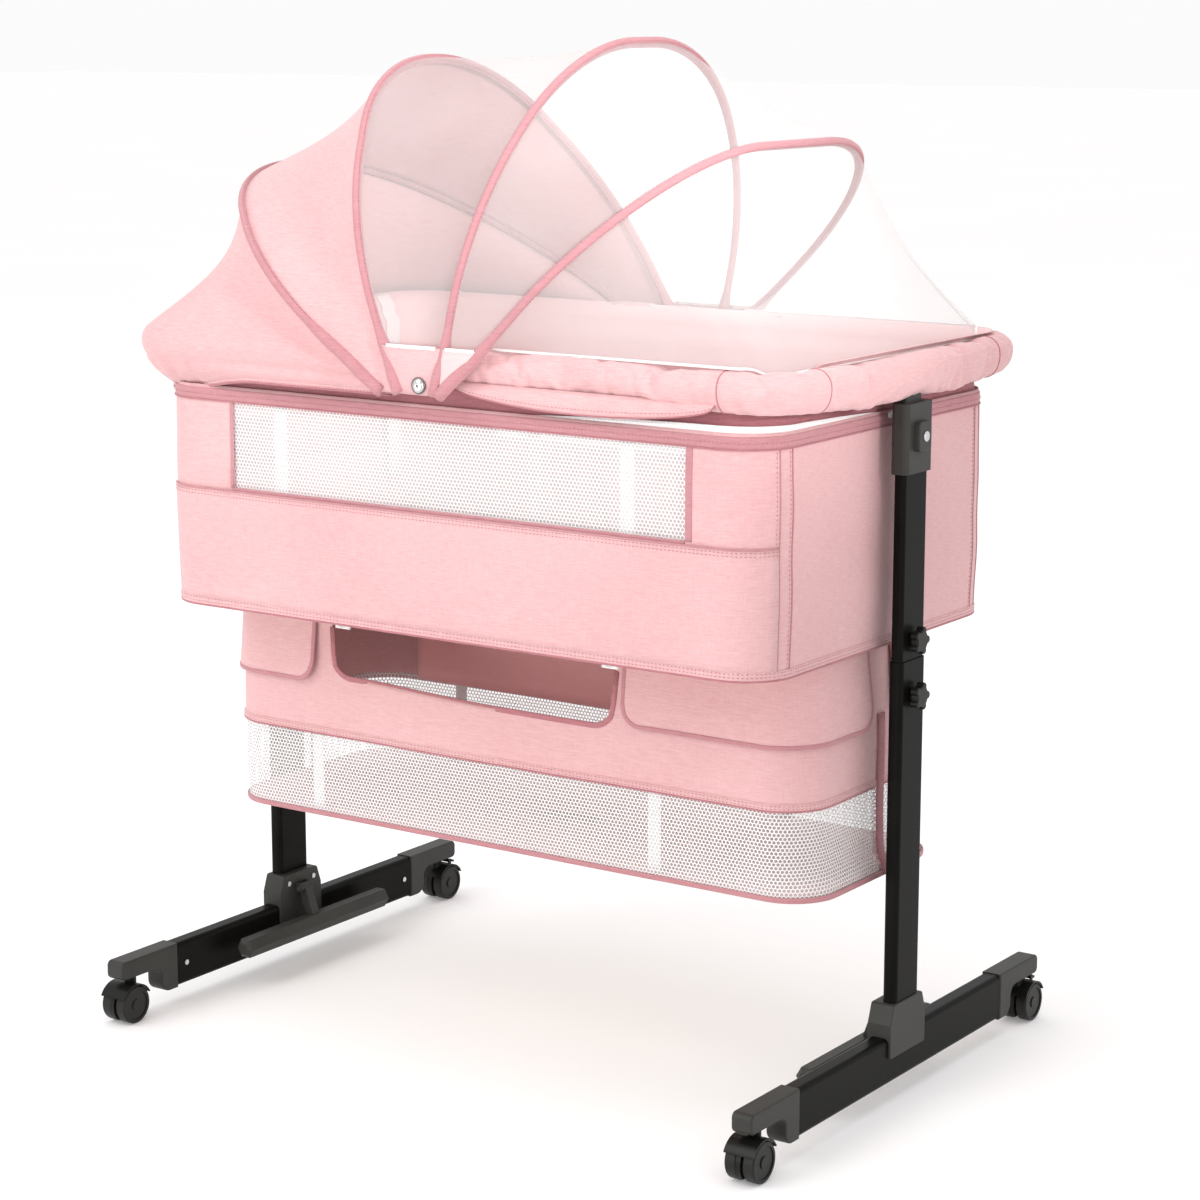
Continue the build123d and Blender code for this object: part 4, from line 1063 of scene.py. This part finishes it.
def rail_cover():
    """Padded sleeve round the bed rail, with sewn corner seams and gathers."""
    rail = Ring(RAIL_X, RAIL_Y, RAIL_CORNER)
    path = rail.loop(RAIL_Z, step=0.01)[0]
    cover = sweep("rail_cover", path, UP, round_section(PAD - 0.0022, 26), PINK, closed=True)
    hang_down(cover)
    spots = seam_spots(rail)

    def sewn(p):
        if p[2] < RAIL_Z - 0.8 * PAD - rail_sag(p[0], p[1]):
            return True
        return any(abs((p - q) @ t) < 0.004 and np.linalg.norm(p - q) < 2 * PAD for q, t in spots)

    inflate(cover, 0.0055, 0.0055, slack=0.05, pinned=sewn)
    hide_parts("rail_pad")
    surface = BVHTree.FromObject(cover, bpy.context.evaluated_depsgraph_get())
    seams = joined("rail_cover_seams", [seam_round(surface, *spot) for spot in spots])
    on_bed("pink_fabric", cover, seams)


def mattress():
    """The mattress with its crowned cover and a welt round its top edge."""
    low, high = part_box("mattress")
    inset = 0.006
    ring = Ring(high.x - inset, high.y - inset, 0.052)
    mid = (low.z + high.z) / 2
    half = (high.z - low.z) / 2 - 0.004
    around = np.linspace(0, ring.length, 161)[:-1]
    side = [(-0.016, -1.0), (-0.003, -0.7), (0.0, 0.0), (-0.003, 0.7), (-0.016, 1.0)]
    rows = [[ring.point(d, outset, mid + up * half) for d in around] for outset, up in side]
    for at, up in ((0, -1.0), (len(rows) + 1, 1.0)):
        middle = [(0.5 * ring.at(d)[0], 0.2 * ring.at(d)[1], mid + up * half) for d in around]
        rows.insert(at, middle)
    pad = lattice("mattress_pad", rows, MATTRESS_COVER, closed=True, thick=0)
    close_ends(pad, len(around))
    inflate(pad, 0.009, 0.006)
    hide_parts("mattress")
    path, out = ring.loop(mid + half - 0.002, outset=0.0005, step=0.01)
    welt = sweep("mattress_welt", path, out, round_section(0.0022, 8), MAUVE, closed=True)
    on_bed("mattress_cover", pad, welt)


def close_ends(obj, columns):
    """Fills the first and the last row of a closed lattice."""
    points = [tuple(v.co) for v in obj.data.vertices]
    faces = [tuple(p.vertices) for p in obj.data.polygons]
    faces.append(tuple(range(columns))[::-1])
    faces.append(tuple(range(len(points) - columns, len(points))))
    material = obj.data.materials[0]
    obj.data.clear_geometry()
    obj.data.from_pydata(points, [], faces)
    obj.data.materials.append(material)


# ============================ tub ============================================

TUB = Ring(TUB_X, TUB_Y, TUB_CORNER)


def tub_outset(d, z):
    """How far the tub's wall stands out of its plan: a soft belly and slight creases."""
    up = (z - TUB_LOW) / (TUB_TOP - TUB_LOW)
    belly = 0.0028 * math.sin(math.pi * up)
    crease = 0.0022 * ripple(d, 0.0, 2 * z, scale=7.0) * math.sin(math.pi * min(1, up * 1.2))
    return belly + crease - 0.001


def tub_wall():
    """The tub's outer wall in one piece, with its two window openings."""
    half = TUB.length / 2
    left, right = WINDOW_LOW.x, WINDOW_HIGH.x
    window_edges = (right, half - right, half - left, TUB.length + left)
    at = breaks(0.0, TUB.length, 0.011, *window_edges)[:-1]
    levels = breaks(TUB_LOW, WALL_TOP, 0.014, WINDOW_LOW.z, WINDOW_HIGH.z)

    def in_window(row, column):
        z = (levels[row] + levels[row + 1]) / 2
        following = at[column + 1] if column + 1 < len(at) else TUB.length
        d = (at[column] + following) / 2
        spans = ((-1, right), (half - right, half - left), (TUB.length + left, TUB.length + 1))
        return WINDOW_LOW.z < z < WINDOW_HIGH.z and any(a < d < b for a, b in spans)

    points = TUB.grid(at, levels, tub_outset)
    wall = lattice("tub_wall", points, PINK, closed=True, missing=in_window, thick=0.0012)
    on_bed("pink_fabric", wall)
    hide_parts("tub_front_panel", "tub_rear_panel", "tub_foot_end", "tub_head_end")
    return wall


def tub_windows():
    """Hexagonal nets behind the wall, a little slack, and their sewn edges."""
    margin = 0.006
    half = TUB.length / 2
    xs = np.linspace(WINDOW_LOW.x - margin, WINDOW_HIGH.x + margin, 60)
    zs = np.linspace(WINDOW_LOW.z - margin, WINDOW_HIGH.z + margin, 14)

    def slack(x, z):
        across = (x - xs[0]) / (xs[-1] - xs[0])
        up = (z - zs[0]) / (zs[-1] - zs[0])
        return 0.002 * math.sin(math.pi * across) * math.sin(math.pi * up)

    for name, centre_of in (("front", lambda x: x), ("rear", lambda x: half - x)):
        points = [[TUB.point(centre_of(x), slack(x, z) - 0.0022, z) for x in xs] for z in zs]
        net = lattice(f"window_net_{name}", points, WINDOW_NET, thick=0)
        on_bed("window_net", net)
        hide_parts(f"{name}_window_net")
        a, b = sorted((centre_of(WINDOW_LOW.x), centre_of(WINDOW_HIGH.x)))
        line, out = TUB.path(
            a, b, WINDOW_LOW.z - 0.002, lambda d: tub_outset(d, WINDOW_LOW.z) + 0.0005
        )
        edges = [sweep("edge", line, out, tape_section(0.0018, 0.005), MAUVE)]
        rows = [(line - 0.0045 * UP, out, 0.0009, False)]
        for x, wide in ((WINDOW_LOW.x, -0.004), (WINDOW_HIGH.x, 0.009)):
            d = centre_of(x + wide / 2)
            heights = np.linspace(WINDOW_LOW.z, WINDOW_HIGH.z, 20)
            line = TUB.upright(d, heights, lambda d, z: tub_outset(d, z) + 0.0006)
            edges.append(sweep("edge", line, TUB.normal(d), tape_section(0.0018, abs(wide)), MAUVE))
        trim = joined(f"window_binding_{name}", edges)
        thread = stitches(f"window_stitches_{name}", rows, THREAD)
        on_bed("pink_fabric", trim, thread)
        size = WINDOW_HIGH - WINDOW_LOW
        cut = (size.x + 2 * margin, size.z + 2 * margin)
        cloth_sheet(net, *cut, "stretched", ["tub_wall"], [trim, thread])


def tub_pocket():
    """Wide patch pocket over the lower front, open along its stitched top edge."""
    start, end = -(TUB_X - 0.012), TUB_X - TUB_CORNER + 0.75 * TUB.quarter - 0.001
    at = np.linspace(start, end, 80)
    levels = np.linspace(TUB_LOW + 0.006, POCKET_TOP, 12)

    def stand(d, z):
        up = (z - levels[0]) / (levels[-1] - levels[0])
        middle = math.sin(math.pi * (d - start) / (end - start))
        return tub_outset(d, z) + 0.0012 + 0.0022 * up * middle ** 0.5

    pocket = lattice("tub_pocket", TUB.grid(at, levels, stand), PINK, thick=0.001)
    line, out = TUB.path(start, end, POCKET_TOP - 0.001, lambda d: stand(d, POCKET_TOP) + 0.0004)
    edge = sweep("tub_pocket_edge", line, out, tape_section(0.0016, 0.0022), MAUVE)
    rows = [(line - drop * UP, out, 0.0006, False) for drop in (0.0035, 0.0075)]
    thread = stitches("tub_pocket_stitches", rows, THREAD)
    on_bed("pink_fabric", pocket, edge, thread)
    cloth_sheet(pocket, end - start, POCKET_TOP - TUB_LOW, "stretched", ["tub_wall"], [edge, thread])


def tub_trim():
    """Hem, corner seams and top binding, with their stitches."""

    def band(name, z, high, outset, thick, material):
        path, out = TUB.loop(z, lambda d: tub_outset(d, z) + outset)
        trims.append(sweep(name, path, out, tape_section(thick, high), material, closed=True))
        return path, out

    trims = []
    binding_mid = (BINDING_LOW + BINDING_TOP) / 2
    path, out = band("tub_hem", TUB_LOW + HEM / 2, HEM, 0.0009, 0.0022, PINK)
    band("tub_hem_edge", TUB_LOW + 0.0006, 0.0026, 0.0012, 0.0030, ROSE)
    band("tub_top_binding", binding_mid, BINDING_TOP - BINDING_LOW, 0.0008, 0.0026, MAUVE)
    band("tub_top_binding_edge", BINDING_LOW, 0.0018, 0.0018, 0.0022, ROSE)
    rows = [(path + 0.0012 * out + z * UP, out, 0.0005, True) for z in (0.0035, -0.0005)]
    rows.append((*TUB.loop(binding_mid, 0.0026), 0.0006, True))
    corner, half = TUB_X - TUB_CORNER, TUB.length / 2
    marks = [corner + 0.75 * TUB.quarter, corner + 0.95 * TUB.quarter]
    heights = np.linspace(TUB_LOW + 0.004, BINDING_LOW, 30)
    seams = []
    for d in [s for m in marks for s in (m, -m, half - m, half + m)]:
        line = TUB.upright(d, heights, lambda d, z: tub_outset(d, z) + 0.0008)
        seams.append(sweep("seam", line, TUB.normal(d), round_section(0.0009, 8), MAUVE))
        beside = d - math.copysign(0.004, d)
        line = np.array([TUB.point(beside, tub_outset(d, z) + 0.0007, z) for z in heights])
        rows.append((line, TUB.normal(d), 0.0005, False))
    trims.append(joined("tub_corner_seams", seams))
    trims.append(stitches("tub_stitches", rows, THREAD))
    on_bed("pink_fabric", *trims)
    return trims


def zip_ring():
    """White zip round the tub's mouth, standing open in a lens at the foot end's corner."""
    at = np.linspace(0, TUB.length, 241)[:-1]
    normals = np.array([TUB.normal(d) for d in at])
    pull_low, pull_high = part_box("zipper_pull")
    zip_start, zip_end = 0.10, TUB.length / 4 + (pull_low.y + pull_high.y) / 2

    def opening(d):
        if not zip_start < d < zip_end:
            return 0.0
        return math.sin(math.pi * (d - zip_start) / (zip_end - zip_start)) ** 0.8

    def tape_point(d, t):
        low = BINDING_TOP - 0.0105
        high = BINDING_TOP + 0.0008 + 0.0105 * opening(d)
        bulge = 0.005 * opening(d) * smooth_step(0.45, 1.0, t)
        return TUB.point(d, bulge - 0.0026, low + t * (high - low))

    points = [[tape_point(d, t) for d in at] for t in np.linspace(0, 1, 6)]
    tape = lattice("zip_tape", points, WHITE_TAPE, closed=True, thick=0.0008)
    low = WALL_TOP - 0.004
    points = [
        [TUB.point(d, -0.004 - 0.005 * t, low + t * UPPER_TAPE) for d in at]
        for t in np.linspace(0, 1, 4)
    ]
    upper = lattice("zip_upper_tape", points, ROSE, closed=True, thick=0.0008)
    on_bed("pink_fabric", upper)
    cloth_sheet(upper, TUB.length, UPPER_TAPE, "stretched", ["rail_cover"])
    rows = [(np.array([tape_point(d, t) for d in at]), normals, 0.0009, True) for t in (0.6, 0.88)]
    teeth = stitches("zip_teeth", rows, NYLON)
    on_bed("zip_nylon", tape, teeth)
    cloth_sheet(tape, TUB.length, ZIP_TAPE, "stretched", ["tub_wall", "rail_cover"], [teeth])


def rail_flap(name, sign):
    """A long flap of the rail cover that hangs over the zip on one side."""
    start, end = 0.03, RAIL_X - 0.075
    along = np.linspace(start, end, 70)
    sewn = math.radians(-52)
    top_y, top_z = RAIL_Y + PAD * math.cos(sewn), RAIL_Z + PAD * math.sin(sewn)

    def flap_point(x, t):
        grow = max(0.0, math.sin(math.pi * (x - start) / (end - start))) ** 0.45
        drop = 0.0235 * grow + 0.0015
        sway = 0.0016 * ripple(x, 0.3, 0.0, scale=14.0)
        bow = 0.0045 * math.sin(math.pi * 0.8 * t)
        return (x, -sign * (top_y - 0.001 + bow + sway * t), top_z + 0.002 - drop * t)

    points = [[flap_point(x, t) for x in along] for t in np.linspace(0, 1, 6)]
    flap = lattice(f"rail_flap_{name}", points, PINK, thick=0.0012)
    out = np.array((0.0, -sign, 0.0))
    edge = sweep(f"rail_flap_edge_{name}", points[-1], out, tape_section(0.0022, 0.0022), ROSE)
    line = np.array([flap_point(x, 0.75) for x in along]) + 0.0008 * out
    thread = stitches(f"rail_flap_stitches_{name}", [(line, out, 0.0005, False)], THREAD)
    on_bed("pink_fabric", flap, edge, thread)
    cloth_sheet(flap, end - start, 0.022, "hung", ["rail_cover"], [edge, thread])


def tub_liners():
    """Low liner over the board, and the upper one that drapes down from the rail, both in the lighter liner pink
    that is painted light on the shaded inside of the tub.
    """
    inset = 0.004
    ring = Ring(TUB_X - inset, TUB_Y - inset, TUB_CORNER - inset)
    at = np.linspace(0, ring.length, 201)[:-1]
    levels = (TUB_LOW + 0.004, TUB_LOW + 0.05, 0.62, WINDOW_LOW.z - 0.004)
    points = ring.grid(at, levels, lambda d, z: 0.0008 * ripple(d, z, 0) - 0.001)
    low_liner = lattice("tub_liner", points, LIT_PINK_LINER, closed=True, thick=0.0008)
    rail = Ring(RAIL_X, RAIL_Y, RAIL_CORNER)
    start = rail.length / 4 - 0.17
    around = np.linspace(start, rail.length - start, 190)
    points = [
        [rail.point(d, outset + 0.0012 * ripple(d, rise, 0), RAIL_Z + rise) for d in around]
        for outset, rise in liner_drape()
    ]
    upper_liner = lattice("tub_upper_liner", points, LIT_PINK_LINER, thick=0.0008)
    on_bed("pink_fabric", upper_liner, low_liner)
    cloth_sheet(upper_liner, rail.length - 2 * start, 0.16, "hung", ["rail_cover"])
    cloth_sheet(low_liner, ring.length, WINDOW_LOW.z - TUB_LOW, "stretched", ["tub_wall"])


def liner_drape():
    """(outset, rise) from the rail's axis: over the pad, then straight down."""
    radius = PAD + 0.0012
    turns = np.radians(np.linspace(100, 186, 8))
    over = [(radius * math.cos(t), radius * math.sin(t)) for t in turns]
    return over + [(DRAPE_IN, -0.012 - 0.104 * t) for t in np.linspace(0, 1, 9)]


def inner_straps():
    """White straps inside the tub: four on the long sides and one at the head end."""
    straps = []
    heights = np.linspace(TUB_LOW + 0.02, RAIL_Z - 0.012, 12)
    for x in (-0.245, 0.255):
        for sign in (-1, 1):
            line = np.array([(x, sign * (TUB_Y - 0.007), z) for z in heights])
            straps.append(sweep("strap", line, (0, sign, 0), tape_section(0.0016, 0.02), WHITE_TAPE))
    rail = Ring(RAIL_X, RAIL_Y, RAIL_CORNER)
    d = -(rail.flat_x + rail.quarter + rail.flat_y) - HEAD_STRAP_Y
    line = [rail.point(d, outset - 0.0022, RAIL_Z + rise) for outset, rise in liner_drape()[1:]]
    line += [rail.point(d, DRAPE_IN - 0.0025, z) for z in np.linspace(RAIL_Z - 0.13, 0.635, 8)]
    straps.append(sweep("strap", line, (1.0, 0.0, 0.0), tape_section(0.0014, 0.028), WHITE_TAPE))
    on_bed("zip_nylon", joined("tub_inner_straps", straps))


# ============================ basket =========================================

BASKET = Ring(BASKET_X, BASKET_Y, BASKET_CORNER)


def basket_outset(d, z):
    """The loaded basket bellies out and draws in at its bottom."""
    up = (z - BASKET_LOW) / (BASKET_TOP - BASKET_LOW)
    belly = 0.006 * math.sin(math.pi * min(1.0, 0.25 + up * 0.8))
    crease = 0.0035 * ripple(d, 0.7, 1.6 * z, scale=6.5) * math.sin(math.pi * min(1, 0.1 + up))
    drawn_in = 0.011 * max(0.0, BASKET.at(d)[2]) * smooth_step(0.0, 0.12, up)
    return belly + crease - drawn_in - 0.004


def slot_edge(d):
    """Height of the basket band's top edge, which dips for the access slot."""
    x = d if d <= BASKET.length / 2 else d - BASKET.length
    if not SLOT_LEFT < x < SLOT_RIGHT:
        return BASKET_TOP
    lip = SLOT_LOW + 0.008 * (1 - smooth_step(-0.25, 0.0, x))
    bend = max(0.0, 1 - min(x - SLOT_LEFT, SLOT_RIGHT - x) / SLOT_CORNER)
    arc = SLOT_RISE * (1 - math.sqrt(max(0.0, 1 - bend ** 2)))
    return lip + arc + (BASKET_TOP - lip - SLOT_RISE) * smooth_step(0.75, 1.0, bend)


def slot_corners():
    """Closely spaced places round both corners of the slot, the left ones first."""
    left = np.linspace(SLOT_LEFT, SLOT_LEFT + SLOT_CORNER, 12)
    return left, np.linspace(SLOT_RIGHT - SLOT_CORNER, SLOT_RIGHT, 12)


def basket_shell():
    """Fabric band with the slot, hexagonal net below it, base cloth and rear lining."""
    slot_left = BASKET.length + SLOT_LEFT
    edges = (SLOT_RIGHT, SLOT_RIGHT - SLOT_CORNER, slot_left, slot_left + SLOT_CORNER)
    left, right = slot_corners()
    at = set(breaks(0.0, BASKET.length, 0.009, *edges)[:-1])
    at = sorted(at | set(right) | {BASKET.length + d for d in left})
    tops = [slot_edge(d) for d in at]
    points = []
    for t in np.linspace(0, 1, 15):
        heights = [BAND_LOW + (top - BAND_LOW) * t for top in tops]
        points.append([BASKET.point(d, basket_outset(d, z), z) for d, z in zip(at, heights)])
    band = lattice("basket_band", points, PINK, closed=True, thick=0.0012)
    net_top = BAND_LOW + 0.006
    around = np.linspace(0, BASKET.length, 261)[:-1]
    levels = np.linspace(BASKET_LOW, net_top, 9)
    points = BASKET.grid(around, levels, lambda d, z: basket_outset(d, z) - 0.0015)
    net = lattice("basket_net", points, BASKET_NET, closed=True, thick=0)
    base = basket_base()
    lining = rear_lining()
    cloth_sheet(lining, 0.72, BASKET_TOP - BAND_LOW, "hung", ["basket_band"])
    on_bed("pink_fabric", band, base, lining)
    on_bed("window_net", net)
    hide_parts("basket_front", "basket_rear", "basket_foot_end", "basket_head_end")
    trims = basket_trim()
    cloth_sheet(band, BASKET.length, BASKET_TOP - BAND_LOW, "hung", ["tub_wall"], trims)
    cloth_sheet(net, BASKET.length, net_top - BASKET_LOW, "hung", ["basket_band"])
    cloth_sheet(base, 2 * BASKET_X, 2 * BASKET_Y, "laid", ["basket_floor_board"])


def rear_lining():
    """Rose lining behind the rear band, seen through the access slot; its very light pink is painted light in the
    shaded slot.
    """
    half = BASKET.length / 2
    xs = np.linspace(-0.36, 0.36, 50)
    points = [
        [BASKET.point(half - x, 0.0015 * ripple(x, z, 0) - 0.008, z) for x in xs]
        for z in np.linspace(BAND_LOW + 0.002, BASKET_TOP - 0.004, 9)
    ]
    return lattice("basket_rear_lining", points, LIT_BASKET_PINK, thick=0.0008)


def basket_base():
    """Cloth over the basket's board, dished a little as if something had lain in it."""
    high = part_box("basket_floor_board")[1]
    ring = Ring(high.x - 0.001, high.y - 0.001, BASKET_CORNER - 0.003)
    around = np.linspace(0, ring.length, 161)[:-1]
    rows = []
    for k in range(8):
        shrink = k / 7.6
        row = []
        for d in around:
            x, y = ring.at(d)[:2]
            z = high.z + 0.0012 + 0.0012 * ripple(d, k * 0.4, 0, scale=5.0)
            row.append((x * (1 - 0.995 * shrink), y * (1 - shrink), z))
        rows.append(row)
    # The cloth takes the lighter liner pink: painted light on the shaded floor of the basket.
    return lattice("basket_base", rows, LIT_PINK_LINER, closed=True, thick=0.0008)


def basket_trim():
    """Bindings, stitches, white straps and the strips at both ends of the basket."""
    trims = []

    def ring_tape(name, z, from_z, outset, section, material):
        path, out = BASKET.loop(z, lambda d: basket_outset(d, from_z) + outset)
        trims.append(sweep(name, path, out, tape_section(*section), material, closed=True))
        return path, out

    left, right = slot_corners()
    lip = sorted(set(breaks(SLOT_LEFT, SLOT_RIGHT, 0.006)) | set(left) | set(right))[1:-1]
    line, out = [], []
    for d in lip:
        outset = basket_outset(d, slot_edge(d)) + 0.0006
        line.append(BASKET.point(d, outset, slot_edge(d % BASKET.length) - 0.0005))
        out.append(BASKET.normal(d))
    trims.append(sweep("basket_slot_binding", line, np.array(out), tape_section(0.0032, 0.007), ROSE))
    hem, out = ring_tape("basket_band_hem", BAND_LOW + 0.003, BAND_LOW, 0.0006, (0.0024, 0.009), PINK)
    ring_tape("basket_band_edge", BAND_LOW - 0.0012, BAND_LOW, 0.0008, (0.003, 0.0024), ROSE)
    ring_tape(
        "basket_bottom_binding", BASKET_LOW + 0.002, BASKET_LOW, -0.0004, (0.003, 0.0065), MAUVE
    )
    rows = [(hem + 0.0016 * out + z * UP, out, 0.0005, True) for z in (0.0025, -0.0012)]
    trims.append(stitches("basket_stitches", rows, THREAD))
    on_bed("pink_fabric", *trims)
    return [*trims, basket_straps(), basket_end_strips()]


def basket_straps():
    webs = []
    heights = np.linspace(BASKET_LOW + 0.006, BASKET_TOP - 0.02, 14)
    for x in (-0.288, 0.220):
        for sign in (-1, 1):
            line = [(x, sign * (BASKET_Y - 0.006), z) for z in heights]
            webs.append(sweep("strap", line, (0, sign, 0), tape_section(0.0016, 0.018), WHITE_TAPE))
    straps = joined("basket_straps", webs)
    on_bed("zip_nylon", straps)
    return straps


def basket_end_strips():
    strips = []
    for sign in (-1, 1):
        line = []
        for z in np.linspace(BASKET_LOW, 0.452, 16):
            x = BASKET_X + basket_outset(sign * BASKET.length / 4, z) + 0.0016
            line.append((sign * x, 0.020, z))
        strips.append(sweep("strip", line, (sign, 0, 0), tape_section(0.0024, 0.017), ROSE))
    both = joined("basket_end_strips", strips)
    on_bed("pink_fabric", both)
    return both


def basket_flap(name, start, end, low, stand):
    """Side flap of the tub over the basket: it hangs free, with rounded lower corners."""
    corner = 0.026
    at = set(np.linspace(start, end, 60))
    at |= set(np.linspace(start, start + corner, 9)) | set(np.linspace(end - corner, end, 9))
    at = sorted(at)

    def bottom(d):
        bend = max(0.0, 1 - min(d - start, end - d) / corner)
        return low + corner * (1 - math.sqrt(max(0.0, 1 - bend ** 2)))

    def place(d, t):
        z = BASKET_TOP - 0.001 + (bottom(d) - BASKET_TOP) * t
        return hanging(d, z)

    def hanging(d, z):
        drop = (BASKET_TOP - z) / (BASKET_TOP - low)
        loose = 0.004 * (1 - smooth_step(0.0, 0.05, min(d - start, end - d)))
        return BASKET.point(d, basket_outset(d, z) + 0.0035 + (stand + loose) * drop, z)

    points = [[place(d, t) for d in at] for t in np.linspace(0, 1, 12)]
    flap = lattice(f"basket_flap_{name}", points, PINK, thick=0.0014)
    down = np.linspace(0.0, 1.0, 14)
    first = [place(start, t) for t in down]
    under = [hanging(d, bottom(d)) for d in at[1:-1]]
    last = [place(end, t) for t in down[::-1]]
    line = resampled([*first, *under, *last], 150)
    flat = np.array((BASKET.flat_x, BASKET.flat_y, 0.0))
    normals = line - np.clip(line, -flat, flat)
    normals[:, 2] = 0.0
    edge = sweep(
        f"basket_flap_binding_{name}", line, unit(normals), tape_section(0.0030, 0.0055), MAUVE
    )
    on_bed("pink_fabric", flap, edge)
    cloth_sheet(flap, end - start, BASKET_TOP - low, "hung", ["tub_wall", "basket_band"], [edge])


def basket_flaps():
    half = BASKET.length / 2
    middle_of_end = BASKET.length / 4
    basket_flap("front_foot", 0.183, middle_of_end - 0.012, 0.441, 0.002)
    basket_flap("front_head", -(middle_of_end - 0.012), -0.284, 0.434, 0.002)
    basket_flap("rear_foot", middle_of_end + 0.045, half - 0.20, 0.441, 0.004)
    basket_flap("rear_head", -(half - 0.20), -(middle_of_end + 0.045), 0.441, 0.008)


def clips():
    """White snap clips under the tub's hem that the basket hangs from."""
    wide, high, deep = 0.021, 0.009, 0.004
    z = TUB_LOW - high / 2 - 0.001
    turn = np.linspace(0, 2 * math.pi, 17)[:-1]
    bodies = []
    for x in (-0.166, 0.222):
        for sign in (-1, 1):
            y = sign * (TUB_Y - 0.022)
            line = [(x + t * wide, y, z) for t in np.linspace(-0.5, 0.5, 8)]
            bodies.append(sweep("clip", line, (0, sign, 0), tape_section(deep, high), NYLON))
            loop = [
                (x + 0.3 * wide * math.cos(t), y + sign * 0.0022, z + 0.3 * high * math.sin(t))
                for t in turn
            ]
            bodies.append(
                sweep("clip", loop, (0, sign, 0), round_section(0.0008, 6), NYLON, closed=True)
            )
    on_bed("zip_nylon", joined("basket_clips", bodies))


# ============================ stage ==========================================


def aimed(name, data, place, back):
    """Puts a lamp or a camera at a place, with its back turned to a direction."""
    obj = bpy.data.objects.new(name, data)
    bpy.context.scene.collection.objects.link(obj)
    obj.location = place
    obj.rotation_euler = back.to_track_quat("Z", "Y").to_euler()
    return obj


def lamps():
    """Three large soft lamps, and a snooted one that lights the hood through the veils."""
    softboxes = (
        ("key", (-1.6, -3.2, 3.4), (0, 0, 0.6), 2.6, 62),
        ("low_front", (-0.5, -3.6, 0.55), (0, 0, 0.5), 1.6, 27),
        ("overhead", (0.3, 0.4, 4.2), (0, 0, 0.5), 3.2, 30),
    )
    for name, place, aim, size, power in softboxes:
        light = bpy.data.lights.new(name, "AREA")
        light.shape = "SQUARE"
        light.size = size
        light.energy = power
        aimed(name, light, place, Vector(place) - Vector(aim))
    light = bpy.data.lights.new("canopy_spot", "SPOT")
    light.energy = 250
    light.spot_size = math.radians(19)
    light.spot_blend = 0.7
    light.shadow_soft_size = 0.25
    place, aim = Vector((2.3, -0.9, 1.5)), Vector((-0.24, 0, 1.0))
    aimed("canopy_spot", light, place, place - aim)


def stage():
    """Pale floor, even white surroundings, lamps and the camera."""
    corners = np.linspace(-40, 40, 5)
    points = [[(x, y, 0.0) for x in corners] for y in corners]
    floor = lattice("floor", points, floor_material("pale_floor"), thick=0)
    floor.location.z = -0.0005
    lamps()
    world = bpy.data.worlds.new("studio")
    bpy.context.scene.world = world
    world.use_nodes = True
    background = world.node_tree.nodes["Background"]
    background.inputs["Color"].default_value = (1, 1, 1, 1)
    background.inputs["Strength"].default_value = 0.97
    bpy.context.scene.view_settings.view_transform = "Standard"

    camera = bpy.data.cameras.new("main_view")
    camera.lens = CAMERA_LENS
    camera.sensor_width = 36.0
    camera.clip_end = 200.0
    back = Vector((
        math.sin(CAMERA_AZIMUTH) * math.cos(CAMERA_ELEVATION),
        -math.cos(CAMERA_AZIMUTH) * math.cos(CAMERA_ELEVATION),
        math.sin(CAMERA_ELEVATION),
    ))
    place = CAMERA_TARGET + CAMERA_DISTANCE * back
    bpy.context.scene.camera = aimed("main_view", camera, place, back)


finish_cad_nodes()
rail_cover()
mattress()
wall = tub_wall()
tub_windows()
tub_pocket()
wall_trims = tub_trim()
zip_ring()
rail_flap("front", 1)
rail_flap("rear", -1)
tub_liners()
inner_straps()
cloth_sheet(wall, TUB.length, WALL_TOP - TUB_LOW, "stretched", ["rail_tube"], wall_trims)
basket_shell()
basket_flaps()
clips()
canopy()
stage()
